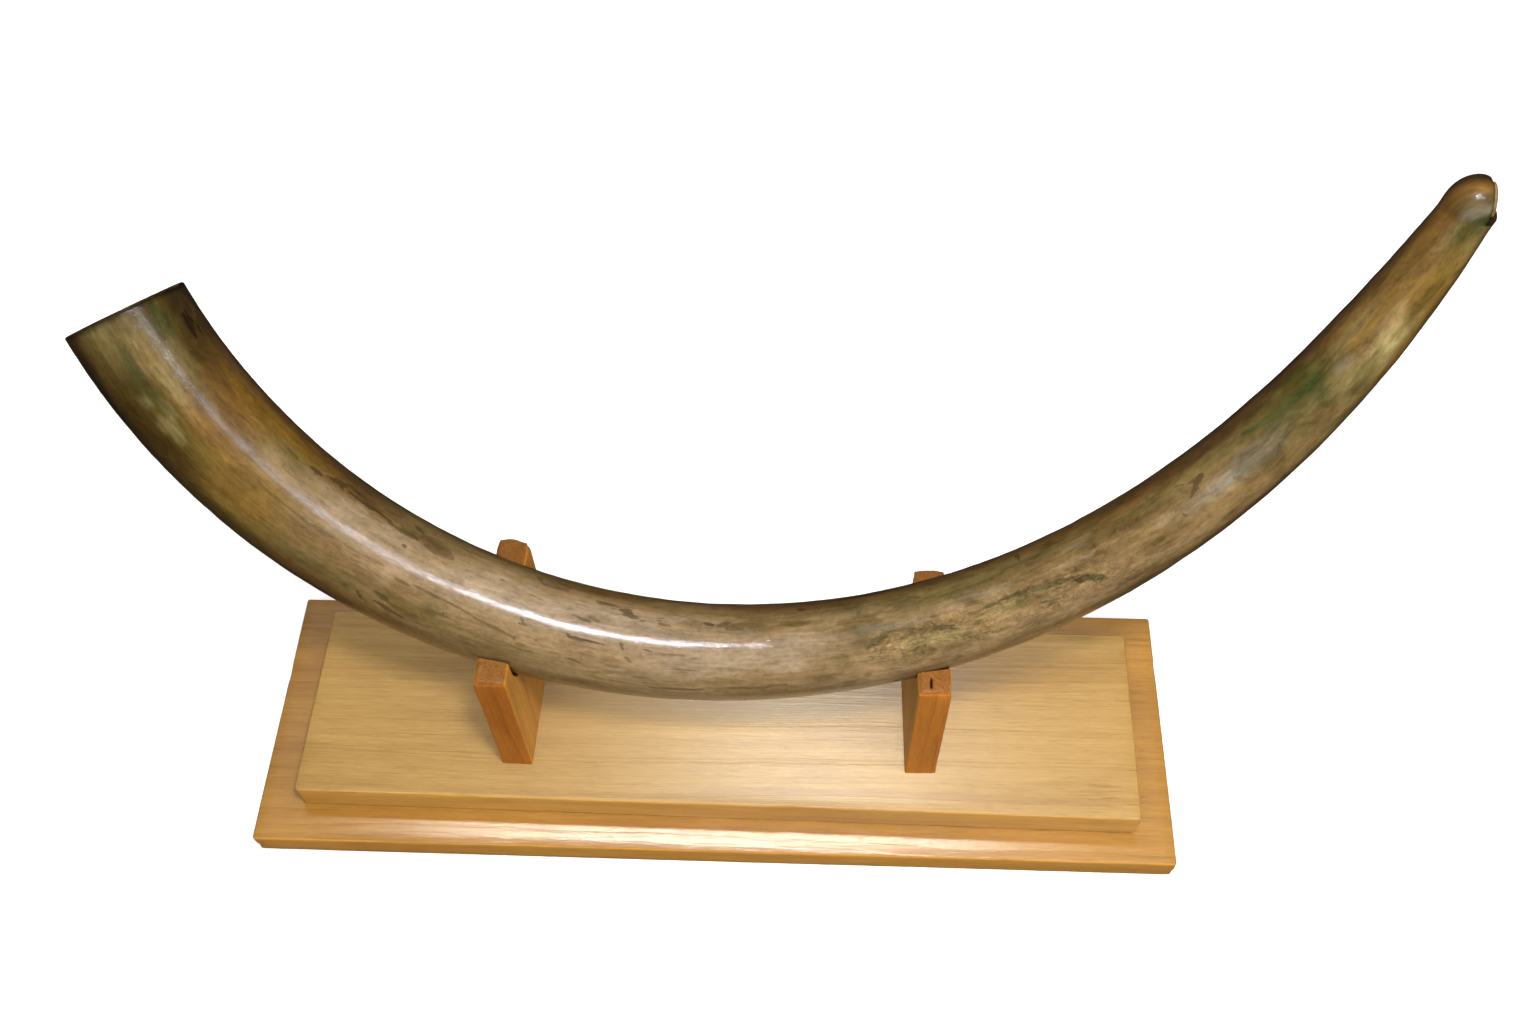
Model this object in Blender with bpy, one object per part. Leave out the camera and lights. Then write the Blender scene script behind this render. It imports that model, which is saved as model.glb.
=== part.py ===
"""Tusk-shaped didgeridoo lying on a stepped pine display stand.

Metres, +Z up.  The stand's long side runs along X, its front faces -Y.  The
origin is the centre of the lower board's underside, where the stand rests.
"""
import math

import bmesh
import bpy
import numpy as np
from mathutils import Matrix, Vector

for _ob in list(bpy.data.objects):
    bpy.data.objects.remove(_ob, do_unlink=True)

# ---------------------------------------------------------------- dimensions
GAP = 0.0003                      # air between neighbouring pieces

# lower board of the base
LOWER_LENGTH = 0.600
LOWER_DEPTH = 0.180
LOWER_THICKNESS = 0.020
LOWER_EDGE = 0.0016               # eased edges

# upper board, lying a little askew on the lower one
UPPER_LENGTH = 0.546
UPPER_DEPTH = 0.133
UPPER_THICKNESS = 0.024
UPPER_SHIFT = (0.0027, -0.0011)
UPPER_TURN = math.radians(-0.5)
UPPER_CORNER = 0.0030             # rounded upright corners
UPPER_EDGE = 0.0014

# the two notched cradle planks, cut from one board, grain upright
CRADLE_THICKNESS = 0.0200
CRADLE_HEIGHT = 0.115
CRADLE_EDGE = 0.0012
CRADLE_BACK_EDGE = 0.0035          # the back edges are rounded more
CRADLE_TOP_EDGE = 0.0030
LEFT_X, LEFT_FRONT, LEFT_BACK, LEFT_TURN, LEFT_LEAN = -0.1272, -0.0432, 0.0598, math.radians(-1.2), 0.006
RIGHT_X, RIGHT_FRONT, RIGHT_BACK, RIGHT_TURN, RIGHT_LEAN = 0.1350, -0.0422, 0.0438, math.radians(1.2), 0.013
NOTCH_EASE = 0.0006               # how much wider the notch is than the horn
CRACK_WIDTH, CRACK_DEPTH, CRACK_LENGTH = 0.0014, 0.0040, 0.0075   # drying crack, right front prong

# horn: a curve that bends in a nearly upright plane and twists out of it.
# u runs 0..1 from the wide open end to the foot of the rounded mouth end.
HORN_LENGTH = 0.920
HORN_MIDDLE = (0.04975, -0.00436, 0.13842)      # where u is one half
BEND_LEAN = math.radians(4.67)                  # the bend's plane leans back
BEND_TURN = math.radians(15.92)                 # and turns about the upright
BEND_HEADING = (-72.68, 176.46, -85.91, 176.44, -130.65)   # degrees: powers of u
BEND_TWIST = (34.57, -37.18, -4.65)             # degrees out of the plane: powers of u
HORN_RADIUS = (0.03513, 0.00690, -0.08873, 0.13874, -0.07836)   # powers of u
NARROWING, NARROWING_FROM = 0.0008, 0.92         # extra narrowing close to the mouth
HORN_STATIONS = 48
HORN_SIDES = 24

# rounded mouth end: it turns towards a small oblique face with the blow hole
MOUTH_CENTRE = (0.37245, 0.07745, 0.44390)
MOUTH_FACING = (0.9735, -0.1518, 0.1709)
MOUTH_FACE_RADIUS = 0.0086
MOUTH_STATIONS = 10

# bore
BELL_WALL = 0.0070                # wall at the open end
MID_WALL = 0.0085                 # and along the middle
BORE_MIN = 0.0058                 # narrowest bore, at the mouth end
SEAT_DEPTH = 0.0047               # the blow hole's wider seat for the wax
BORE_STATIONS = 30

# beeswax rim pressed into the blow hole
WAX_OUTER = 0.0070
WAX_INNER = 0.0056
WAX_LENGTH = 0.0040
WAX_LIP_RADIUS = 0.0082
WAX_LIP = 0.0016

# countersunk wood screws
SCREW_SIDES = 16
SHANK_RADIUS = 0.0020
HEAD_RADIUS = 0.0042
HEAD_HEIGHT = 0.0028
CRADLE_SCREW_LENGTH = 0.046
BASE_SCREW_LENGTH = 0.034
SCREW_SINK = 0.0006               # head sits this far below the wood
RECESS_WIDTH, RECESS_SPAN, RECESS_DEPTH = 0.0011, 0.0046, 0.0015
LEFT_SCREWS = (-0.024, 0.038)     # along the plank's depth
RIGHT_SCREWS = (-0.024, 0.023)
BASE_SCREWS = ((-0.225, -0.040), (0.225, -0.040), (-0.225, 0.040), (0.225, 0.040))

Z_LOWER = LOWER_THICKNESS
Z_UPPER0 = Z_LOWER + GAP
Z_UPPER = Z_LOWER + UPPER_THICKNESS
Z_CRADLE0 = Z_UPPER + GAP
Z_CRADLE = Z_UPPER + CRADLE_HEIGHT


# ---------------------------------------------------------------- helpers
def material(name, colour, roughness, metallic=0.0):
    mat = bpy.data.materials.new(name)
    mat.use_nodes = True
    bsdf = next(n for n in mat.node_tree.nodes if n.type == "BSDF_PRINCIPLED")
    bsdf.inputs["Base Color"].default_value = (*colour, 1.0)
    bsdf.inputs["Roughness"].default_value = roughness
    bsdf.inputs["Metallic"].default_value = metallic
    mat.diffuse_color = (*colour, 1.0)
    return mat


PINE_PALE = material("pine_pale", (0.72, 0.50, 0.27), 0.35)
PINE_DEEP = material("pine_deep", (0.58, 0.34, 0.13), 0.35)
PINE_POST = material("pine_post", (0.50, 0.26, 0.08), 0.40)
HORN_MAT = material("polished_horn", (0.36, 0.27, 0.15), 0.25)
WAX_MAT = material("beeswax", (0.42, 0.24, 0.07), 0.45)
STEEL = material("zinc_steel", (0.60, 0.60, 0.58), 0.35, 1.0)


def make_object(name, bm, mat, smooth_angle=None):
    bmesh.ops.recalc_face_normals(bm, faces=bm.faces[:])
    mesh = bpy.data.meshes.new(name)
    bm.to_mesh(mesh)
    bm.free()
    mesh.materials.append(mat)
    ob = bpy.data.objects.new(name, mesh)
    bpy.context.scene.collection.objects.link(ob)
    if smooth_angle is not None:
        mesh.shade_smooth()
        mesh.set_sharp_from_angle(angle=math.radians(smooth_angle))
    return ob


def cutter(name, bm):
    ob = make_object(name, bm, STEEL)
    ob.hide_render = True
    ob.display_type = "WIRE"
    return ob


def cut(ob, tool):
    mod = ob.modifiers.new("cut_" + tool.name, "BOOLEAN")
    mod.operation = "DIFFERENCE"
    mod.solver = "EXACT"
    mod.object = tool


def box_bm(x0, x1, y0, y1, z0, z1):
    bm = bmesh.new()
    bmesh.ops.create_cube(bm, size=1.0)
    bmesh.ops.scale(bm, vec=(x1 - x0, y1 - y0, z1 - z0), verts=bm.verts)
    bmesh.ops.translate(bm, vec=((x0 + x1) / 2, (y0 + y1) / 2, (z0 + z1) / 2), verts=bm.verts)
    return bm


def bevel_edges(bm, test, width, segments):
    edges = [e for e in bm.edges if test((e.verts[0].co + e.verts[1].co) / 2, e.verts[1].co - e.verts[0].co)]
    bmesh.ops.bevel(bm, geom=edges, offset=width, segments=segments, profile=0.5, affect="EDGES")


def rotated(x, y, turn, ox=0.0, oy=0.0):
    c, s = math.cos(turn), math.sin(turn)
    return ox + c * x - s * y, oy + s * x + c * y


# ---------------------------------------------------------------- the horn's line
def powers(coeffs, u):
    return sum(c * u ** k for k, c in enumerate(coeffs))


def horn_line(steps=320):
    """Centres and directions along the horn, found by adding up short steps."""
    c, s = math.cos(BEND_TURN), math.sin(BEND_TURN)
    along = np.array([c, s, 0.0])
    level = np.array([-s, c, 0.0])
    rise = math.cos(BEND_LEAN) * np.array([0.0, 0.0, 1.0]) + math.sin(BEND_LEAN) * level
    out = np.cross(along, rise)
    um = (np.arange(steps) + 0.5) / steps
    head = np.radians(powers(BEND_HEADING, um))[:, None]
    twist = np.radians(powers(BEND_TWIST, um))[:, None]
    step_dir = np.cos(twist) * (np.cos(head) * along + np.sin(head) * rise) + np.sin(twist) * out
    pts = np.vstack([np.zeros(3), np.cumsum(step_dir * HORN_LENGTH / steps, axis=0)])
    pts += np.array(HORN_MIDDLE) - pts[steps // 2]
    dirs = np.vstack([step_dir[:1], (step_dir[1:] + step_dir[:-1]) / 2, step_dir[-1:]])
    dirs /= np.linalg.norm(dirs, axis=1)[:, None]
    return np.linspace(0.0, 1.0, steps + 1), pts, dirs


LINE_U, LINE_P, LINE_T = horn_line()


def horn_at(u):
    p = np.array([np.interp(u, LINE_U, LINE_P[:, k]) for k in range(3)])
    t = np.array([np.interp(u, LINE_U, LINE_T[:, k]) for k in range(3)])
    return p, t / np.linalg.norm(t)


def horn_radius(u):
    near_end = max(0.0, (u - NARROWING_FROM) / (1.0 - NARROWING_FROM))
    return powers(HORN_RADIUS, u) - NARROWING * near_end ** 2


def horn_at_x(x):
    u = np.interp(x, LINE_P[:, 0], LINE_U)
    p, t = horn_at(u)
    return u, p, t


MOUTH_P = np.array(MOUTH_CENTRE)
MOUTH_N = np.array(MOUTH_FACING) / np.linalg.norm(MOUTH_FACING)
END_P, END_T = horn_at(1.0)


def mouth_line(w, pull=0.0075, start=None, end=None):
    """Bezier curve from the end of the horn's line to the mouth face."""
    (a, ta), d = start or (END_P, END_T), MOUTH_P if end is None else end
    b, c = a + ta * pull, d - MOUTH_N * pull
    p = (1 - w) ** 3 * a + 3 * w * (1 - w) ** 2 * b + 3 * w * w * (1 - w) * c + w ** 3 * d
    t = 3 * (1 - w) ** 2 * (b - a) + 6 * w * (1 - w) * (c - b) + 3 * w * w * (d - c)
    return p, t / np.linalg.norm(t)


def turned_rings(stations, sides):
    """One ring of points for each (centre, direction, radius), without twisting."""
    rings = []
    ref = np.array([0.0, 1.0, 0.0])
    for p, t, r in stations:
        ref = ref - t * float(ref @ t)
        ref /= np.linalg.norm(ref)
        other = np.cross(t, ref)
        ang = 2 * math.pi * np.arange(sides) / sides
        rings.append(p + r * (np.cos(ang)[:, None] * ref + np.sin(ang)[:, None] * other))
    return rings


def skin(bm, rings):
    """Closed strip of quads through the rings; the last ring meets the first."""
    rows = [[bm.verts.new(Vector(p)) for p in ring] for ring in rings]
    n = len(rows[0])
    for i in range(len(rows)):
        a, b = rows[i], rows[(i + 1) % len(rows)]
        for k in range(n):
            bm.faces.new((a[k], a[(k + 1) % n], b[(k + 1) % n], b[k]))


# ---------------------------------------------------------------- horn body
def horn_stations():
    outer = [(*horn_at(u), horn_radius(u)) for u in np.linspace(0.0, 1.0, HORN_STATIONS)]
    # the sawn rim is broken a little
    p0, t0 = horn_at(0.0)
    outer[0] = (p0 + t0 * 0.0012, t0, horn_radius(0.0))
    outer.insert(0, (p0, t0, horn_radius(0.0) - 0.0012))
    end_r = horn_radius(1.0)
    for k in range(1, MOUTH_STATIONS + 1):
        w = k / MOUTH_STATIONS
        p, t = mouth_line(w)
        fall = max(0.0, (w - 0.45) / 0.55)
        outer.append((p, t, MOUTH_FACE_RADIUS + (end_r - MOUTH_FACE_RADIUS) * math.sqrt(max(0.0, 1.0 - fall ** 3.2))))
    # bore, listed from the mouth back to the open end: wax seat, bend, long bore
    seat = MOUTH_P - MOUTH_N * SEAT_DEPTH
    bore = [(MOUTH_P, MOUTH_N, WAX_OUTER + GAP), (seat, MOUTH_N, WAX_OUTER + GAP), (seat, MOUTH_N, BORE_MIN)]
    bend_from = 0.975
    for k in range(1, 6):
        p, t = mouth_line(1.0 - k / 6, 0.009, horn_at(bend_from), seat)
        bore.append((p, t, BORE_MIN))
    for u in np.linspace(bend_from, 0.0, BORE_STATIONS):
        p, t = horn_at(u)
        wall = BELL_WALL + (MID_WALL - BELL_WALL) * min(1.0, u / 0.25)
        open_r = horn_radius(u) - wall
        blend = min(1.0, (bend_from - u) / 0.40)
        bore.append((p, t, BORE_MIN + (open_r - BORE_MIN) * blend * blend * (3 - 2 * blend)))
    return outer, bore


OUTER, BORE = horn_stations()
bm = bmesh.new()
# one loop of rings: outside to the mouth, then back along the bore
skin(bm, turned_rings(OUTER, HORN_SIDES) + turned_rings(list(reversed(BORE)), HORN_SIDES)[::-1])
horn = make_object("horn_body", bm, HORN_MAT, 40)

# ---------------------------------------------------------------- beeswax rim
bm = bmesh.new()
n = MOUTH_N
face = MOUTH_P + n * GAP
profile = [
    (-WAX_LENGTH, WAX_INNER), (-WAX_LENGTH, WAX_OUTER), (0.0, WAX_OUTER),
    (0.0, WAX_LIP_RADIUS - 0.0003), (WAX_LIP * 0.45, WAX_LIP_RADIUS), (WAX_LIP, WAX_LIP_RADIUS - 0.0011),
    (WAX_LIP * 1.1, (WAX_LIP_RADIUS + WAX_INNER) / 2), (WAX_LIP, WAX_INNER + 0.0009), (WAX_LIP * 0.3, WAX_INNER),
]
skin(bm, turned_rings([(face + n * a, n, r) for a, r in profile], HORN_SIDES))
make_object("beeswax_mouthpiece", bm, WAX_MAT, 50)


# ---------------------------------------------------------------- screws
def screw_bm(length, ease=0.0, recess=True):
    """Screw pointing up +Z with its head's face at z = 0; ease makes its hole."""
    bm = bmesh.new()
    stations = [
        (0.0, HEAD_RADIUS + ease), (0.0004, HEAD_RADIUS + ease),
        (HEAD_HEIGHT + ease * 0.5, SHANK_RADIUS + ease), (length - 0.006, SHANK_RADIUS + ease),
        (length + ease, 0.0006 + ease),
    ]
    if ease:
        stations = [(-0.004, HEAD_RADIUS + ease)] + stations
    rows = []
    for z, r in stations:
        rows.append([bm.verts.new((r * math.cos(2 * math.pi * k / SCREW_SIDES), r * math.sin(2 * math.pi * k / SCREW_SIDES), z)) for k in range(SCREW_SIDES)])
    for a, b in zip(rows, rows[1:]):
        for k in range(SCREW_SIDES):
            bm.faces.new((a[k], a[(k + 1) % SCREW_SIDES], b[(k + 1) % SCREW_SIDES], b[k]))
    bm.faces.new(rows[0])
    bm.faces.new(rows[-1])
    return bm


def cross_bm():
    """Cross-shaped prism that cuts the driver recess into a head."""
    bm = bmesh.new()
    a, b = RECESS_WIDTH / 2, RECESS_SPAN / 2
    outline = [(a, a), (a, b), (-a, b), (-a, a), (-b, a), (-b, -a), (-a, -a), (-a, -b), (a, -b), (a, -a), (b, -a), (b, a)]
    low = [bm.verts.new((x, y, -0.002)) for x, y in outline]
    high = [bm.verts.new((x * 0.8, y * 0.8, RECESS_DEPTH)) for x, y in outline]
    bm.faces.new(low)
    bm.faces.new(high)
    for k in range(12):
        bm.faces.new((low[k], low[(k + 1) % 12], high[(k + 1) % 12], high[k]))
    return bm


def add_screw(name, x, y, z, length):
    ob = make_object(name, screw_bm(length), STEEL, 40)
    ob.location = (x, y, z)
    tool = cutter(name + "_recess_tool", cross_bm())
    tool.location = (x, y, z)
    tool.rotation_euler = (0, 0, 0.6 * (len(name) % 5) + x * 9.0)
    cut(ob, tool)
    hole = cutter(name + "_hole_tool", screw_bm(length, ease=GAP))
    hole.location = (x, y, z)
    return hole


LEFT_CENTRE_Y = (LEFT_FRONT + LEFT_BACK) / 2
RIGHT_CENTRE_Y = (RIGHT_FRONT + RIGHT_BACK) / 2
cradle_holes, base_holes = {"left": [], "right": []}, []
for side, cx, cy, turn, spots in (
    ("left", LEFT_X, LEFT_FRONT, LEFT_TURN, LEFT_SCREWS),
    ("right", RIGHT_X, RIGHT_FRONT, RIGHT_TURN, RIGHT_SCREWS),
):
    for spot, along in zip(("front", "back"), spots):
        x, y = rotated(0.0, along - cy, turn, cx, cy)
        cradle_holes[side].append(add_screw(
            f"{side}_cradle_screw_{spot}", x, y, Z_UPPER0 + SCREW_SINK, CRADLE_SCREW_LENGTH))
for (x, y), where in zip(BASE_SCREWS, ("front_left", "front_right", "back_left", "back_right")):
    base_holes.append(add_screw(f"base_screw_{where}", x, y, SCREW_SINK, BASE_SCREW_LENGTH))

# ---------------------------------------------------------------- boards
bm = box_bm(-LOWER_LENGTH / 2, LOWER_LENGTH / 2, -LOWER_DEPTH / 2, LOWER_DEPTH / 2, 0.0, Z_LOWER)
bevel_edges(bm, lambda c, d: True, LOWER_EDGE, 2)
lower = make_object("lower_base_board", bm, PINE_DEEP, 30)
for hole in base_holes:
    cut(lower, hole)

bm = box_bm(-UPPER_LENGTH / 2, UPPER_LENGTH / 2, -UPPER_DEPTH / 2, UPPER_DEPTH / 2, Z_UPPER0, Z_UPPER)
bevel_edges(bm, lambda c, d: abs(d.z) > 0.01, UPPER_CORNER, 4)
bevel_edges(bm, lambda c, d: abs(d.z) < 1e-5, UPPER_EDGE, 2)
bmesh.ops.rotate(bm, cent=(0, 0, 0), matrix=Matrix.Rotation(UPPER_TURN, 3, "Z"), verts=bm.verts)
bmesh.ops.translate(bm, vec=(*UPPER_SHIFT, 0.0), verts=bm.verts)
upper = make_object("upper_base_board", bm, PINE_PALE, 30)
for hole in base_holes + cradle_holes["left"] + cradle_holes["right"]:
    cut(upper, hole)


# ---------------------------------------------------------------- cradles
def cradle(name, cx, y0, y1, turn, lean, holes):
    depth = y1 - y0
    bm = box_bm(-CRADLE_THICKNESS / 2, CRADLE_THICKNESS / 2, 0.0, depth, Z_CRADLE0, Z_CRADLE)
    top = Z_CRADLE - 1e-5
    bevel_edges(bm, lambda c, d: c.z > top, CRADLE_TOP_EDGE, 2)
    bevel_edges(bm, lambda c, d: abs(d.z) > 0.05 and c.y > depth / 2, CRADLE_BACK_EDGE, 3)
    bevel_edges(bm, lambda c, d: abs(d.z) > 0.05 and c.y < 0.001, CRADLE_EDGE, 2)
    bmesh.ops.rotate(bm, cent=(0, 0, 0), matrix=Matrix.Rotation(turn, 3, "Z"), verts=bm.verts)
    bmesh.ops.translate(bm, vec=(cx, y0, 0.0), verts=bm.verts)
    # the plank is cut a little out of square, so its top stands to one side
    for v in bm.verts:
        v.co.x += lean * (v.co.z - Z_CRADLE0)
    ob = make_object(name, bm, PINE_POST, 30)
    # the notch: a round cut along the horn's own direction where it crosses,
    # with upright sides above it so that the horn lifts straight out
    u, p, t = horn_at_x(cx)
    half = CRADLE_THICKNESS / HORN_LENGTH
    r = max(horn_radius(u - half), horn_radius(u + half)) + NOTCH_EASE
    length = 0.12
    tool = bmesh.new()
    rows = turned_rings([(p - t * length / 2, t, r), (p + t * length / 2, t, r)], 40)
    spots = [Vector(q) + Vector((0.0, 0.0, up)) for row in rows for q in row for up in (0.0, 0.05)]
    made = bmesh.ops.convex_hull(tool, input=[tool.verts.new(q) for q in spots])
    loose = {g for g in made["geom_interior"] + made["geom_unused"] if isinstance(g, bmesh.types.BMVert)}
    bmesh.ops.delete(tool, geom=list(loose), context="VERTS")
    cut(ob, cutter(name + "_notch_tool", tool))
    for hole in holes:
        cut(ob, hole)
    return ob


cradle("left_cradle", LEFT_X, LEFT_FRONT, LEFT_BACK, LEFT_TURN, LEFT_LEAN, cradle_holes["left"])
right = cradle("right_cradle", RIGHT_X, RIGHT_FRONT, RIGHT_BACK, RIGHT_TURN, RIGHT_LEAN, cradle_holes["right"])

# short drying crack in the end grain of the right cradle's front prong
bm = box_bm(-CRACK_WIDTH / 2, CRACK_WIDTH / 2, 0.0034, 0.0034 + CRACK_LENGTH, Z_CRADLE - CRACK_DEPTH, Z_CRADLE + 0.004)
bmesh.ops.rotate(bm, cent=(0, 0, 0), matrix=Matrix.Rotation(RIGHT_TURN, 3, "Z"), verts=bm.verts)
bmesh.ops.translate(bm, vec=(RIGHT_X - 0.0009, RIGHT_FRONT, 0.0), verts=bm.verts)
cut(right, cutter("crack_tool", bm))
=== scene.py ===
import math

import bmesh
import bpy
import numpy as np
from mathutils import Matrix, Vector


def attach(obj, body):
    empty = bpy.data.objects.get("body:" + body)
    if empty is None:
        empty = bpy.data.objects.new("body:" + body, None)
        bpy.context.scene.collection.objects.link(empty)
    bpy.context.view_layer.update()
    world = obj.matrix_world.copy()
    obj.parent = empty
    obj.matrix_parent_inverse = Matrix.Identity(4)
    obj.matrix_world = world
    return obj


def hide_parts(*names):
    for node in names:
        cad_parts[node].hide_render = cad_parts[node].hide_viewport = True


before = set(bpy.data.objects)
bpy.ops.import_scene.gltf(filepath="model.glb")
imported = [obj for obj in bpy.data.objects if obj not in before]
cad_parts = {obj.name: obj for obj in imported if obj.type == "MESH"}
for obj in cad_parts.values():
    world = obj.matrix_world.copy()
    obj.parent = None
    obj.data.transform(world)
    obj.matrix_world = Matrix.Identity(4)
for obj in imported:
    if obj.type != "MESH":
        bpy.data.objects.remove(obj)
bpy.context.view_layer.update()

# ------------------------------------------------------------------ smooth random fields
def value_noise(p, seed):
    """Smooth random values from -1 to 1 at the points p, from a lattice of hashed corners."""
    p = np.asarray(p, float)
    cell = np.floor(p).astype(np.int64)
    f = p - cell
    f = f * f * f * (f * (f * 6 - 15) + 10)
    total = np.zeros(len(p))
    for dx in (0, 1):
        for dy in (0, 1):
            for dz in (0, 1):
                h = ((cell[:, 0] + dx) * 73856093) ^ ((cell[:, 1] + dy) * 19349663) ^ ((cell[:, 2] + dz) * 83492791) ^ (seed * 2654435761)
                h = h & 0xFFFFFFFF
                h = ((h ^ (h >> 13)) * 1274126177) & 0xFFFFFFFF
                h = ((h ^ (h >> 16)) * 668265263) & 0xFFFFFFFF
                h = (h ^ (h >> 15)) & 0xFFFFFF
                w = np.where(dx, f[:, 0], 1 - f[:, 0]) * np.where(dy, f[:, 1], 1 - f[:, 1]) * np.where(dz, f[:, 2], 1 - f[:, 2])
                total += w * (h / 0xFFFFFF * 2 - 1)
    return total


def layered(p, seed, octaves=4, fall=0.5):
    p = np.asarray(p, float)
    total, gain, norm = 0.0, 1.0, 0.0
    for k in range(octaves):
        total = total + gain * value_noise(p * 2 ** k + 17.3 * k, seed + k)
        norm += gain
        gain *= fall
    return total / norm


def smooth(lo, hi, x):
    t = np.clip((np.asarray(x, float) - lo) / (hi - lo), 0, 1)
    return t * t * (3 - 2 * t)


def linear(rgb):
    """Linear colour of an sRGB colour given as 0-255."""
    c = np.asarray(rgb, float) / 255
    return np.where(c <= 0.04045, c / 12.92, ((c + 0.055) / 1.055) ** 2.4)


# ------------------------------------------------------------------ node graphs
class Graph:
    """A material's nodes: each call adds one and returns its output."""

    def __init__(self, name):
        self.mat = bpy.data.materials.new(name)
        self.mat.use_nodes = True
        self.nt = self.mat.node_tree
        self.nt.nodes.clear()
        self.out = self.nt.nodes.new("ShaderNodeOutputMaterial")
        self.skin = self.nt.nodes.new("ShaderNodeBsdfPrincipled")
        self.nt.links.new(self.skin.outputs[0], self.out.inputs[0])

    def put(self, socket, value):
        if isinstance(value, bpy.types.NodeSocket):
            self.nt.links.new(value, socket)
        elif value is not None:
            if socket.type == "RGBA" and len(value) == 3:
                value = (*value, 1.0)
            socket.default_value = value

    def add(self, kind, out=0, **inputs):
        node = self.nt.nodes.new("ShaderNode" + kind)
        settings = inputs.pop("settings", {})
        for k, v in settings.items():
            setattr(node, k, v)
        for k, v in inputs.items():
            self.put(node.inputs[k.replace("_", " ")], v)
        return node.outputs[out]

    def attribute(self, name, out="Fac"):
        node = self.nt.nodes.new("ShaderNodeAttribute")
        node.attribute_name = name
        return node.outputs[out]

    def place(self):
        return self.nt.nodes.new("ShaderNodeTexCoord").outputs["Object"]

    def stretch(self, vector, scale, shift=(0, 0, 0)):
        node = self.nt.nodes.new("ShaderNodeMapping")
        node.inputs["Scale"].default_value = scale
        node.inputs["Location"].default_value = shift
        self.nt.links.new(vector, node.inputs["Vector"])
        return node.outputs[0]

    def noise(self, vector, scale, detail=3.0, rough=0.55, warp=0.0, dims="3D", out=0):
        node = self.nt.nodes.new("ShaderNodeTexNoise")
        node.noise_dimensions = dims
        self.put(node.inputs["W" if dims == "1D" else "Vector"], vector)
        node.inputs["Scale"].default_value = scale
        node.inputs["Detail"].default_value = detail
        node.inputs["Roughness"].default_value = rough
        node.inputs["Distortion"].default_value = warp
        return node.outputs[out]

    def math(self, op, a, b=None, c=None, clamp=False):
        node = self.nt.nodes.new("ShaderNodeMath")
        node.operation = op
        node.use_clamp = clamp
        for k, v in enumerate((a, b, c)):
            self.put(node.inputs[k], v)
        return node.outputs[0]

    def span(self, x, lo, hi, out_lo=0.0, out_hi=1.0, soft=True):
        node = self.nt.nodes.new("ShaderNodeMapRange")
        node.interpolation_type = "SMOOTHSTEP" if soft else "LINEAR"
        self.put(node.inputs[0], x)
        for k, v in enumerate((lo, hi, out_lo, out_hi)):
            self.put(node.inputs[1 + k], v)
        return node.outputs[0]

    def blend(self, fac, a, b, mode="MIX"):
        node = self.nt.nodes.new("ShaderNodeMix")
        node.data_type = "RGBA"
        node.blend_type = mode
        self.put(node.inputs[0], fac)
        self.put(node.inputs[6], a)
        self.put(node.inputs[7], b)
        return node.outputs[2]

    def ramp(self, x, stops):
        node = self.nt.nodes.new("ShaderNodeValToRGB")
        node.color_ramp.interpolation = "LINEAR"
        els = node.color_ramp.elements
        while len(els) > 1:
            els.remove(els[-1])
        els[0].position, els[0].color = stops[0][0], (*stops[0][1], 1)
        for at, colour in stops[1:]:
            els.new(at).color = (*colour, 1)
        self.put(node.inputs[0], x)
        return node.outputs[0]

    def bump(self, height, distance, strength=1.0, normal=None):
        node = self.nt.nodes.new("ShaderNodeBump")
        node.inputs["Strength"].default_value = strength
        node.inputs["Distance"].default_value = distance
        self.put(node.inputs["Height"], height)
        if normal is not None:
            self.nt.links.new(normal, node.inputs["Normal"])
        return node.outputs[0]

    def finish(self, colour, roughness, normal=None, **constants):
        self.put(self.skin.inputs["Base Color"], colour)
        self.put(self.skin.inputs["Roughness"], roughness)
        if normal is not None:
            self.nt.links.new(normal, self.skin.inputs["Normal"])
            if "Coat_Weight" in constants:
                self.nt.links.new(normal, self.skin.inputs["Coat Normal"])
        for k, v in constants.items():
            self.put(self.skin.inputs[k.replace("_", " ")], v)
        return self.mat


# ------------------------------------------------------------------ mesh helpers
def mesh_object(name, verts, faces, mat, smooth_angle=35):
    mesh = bpy.data.meshes.new(name)
    mesh.from_pydata([tuple(v) for v in verts], [], faces)
    mesh.validate()
    mesh.materials.append(mat)
    ob = bpy.data.objects.new(name, mesh)
    bpy.context.scene.collection.objects.link(ob)
    mesh.shade_smooth()
    if smooth_angle:
        mesh.set_sharp_from_angle(angle=math.radians(smooth_angle))
    return ob


def object_from(name, bm, mat, smooth_angle=35):
    mesh = bpy.data.meshes.new(name)
    bm.to_mesh(mesh)
    bm.free()
    mesh.materials.append(mat)
    ob = bpy.data.objects.new(name, mesh)
    bpy.context.scene.collection.objects.link(ob)
    mesh.shade_smooth()
    if smooth_angle:
        mesh.set_sharp_from_angle(angle=math.radians(smooth_angle))
    return ob


def cut_out(ob, cutters):
    """Takes the cutters' shapes out of ob, and removes them."""
    for tool in cutters:
        mod = ob.modifiers.new("cut", "BOOLEAN")
        mod.operation, mod.solver, mod.object = "DIFFERENCE", "EXACT", tool
    bpy.context.view_layer.update()
    made = bpy.data.meshes.new_from_object(ob.evaluated_get(bpy.context.evaluated_depsgraph_get()))
    ob.modifiers.clear()
    old, ob.data = ob.data, made
    bpy.data.meshes.remove(old)
    for tool in cutters:
        bpy.data.objects.remove(tool, do_unlink=True)


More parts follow.
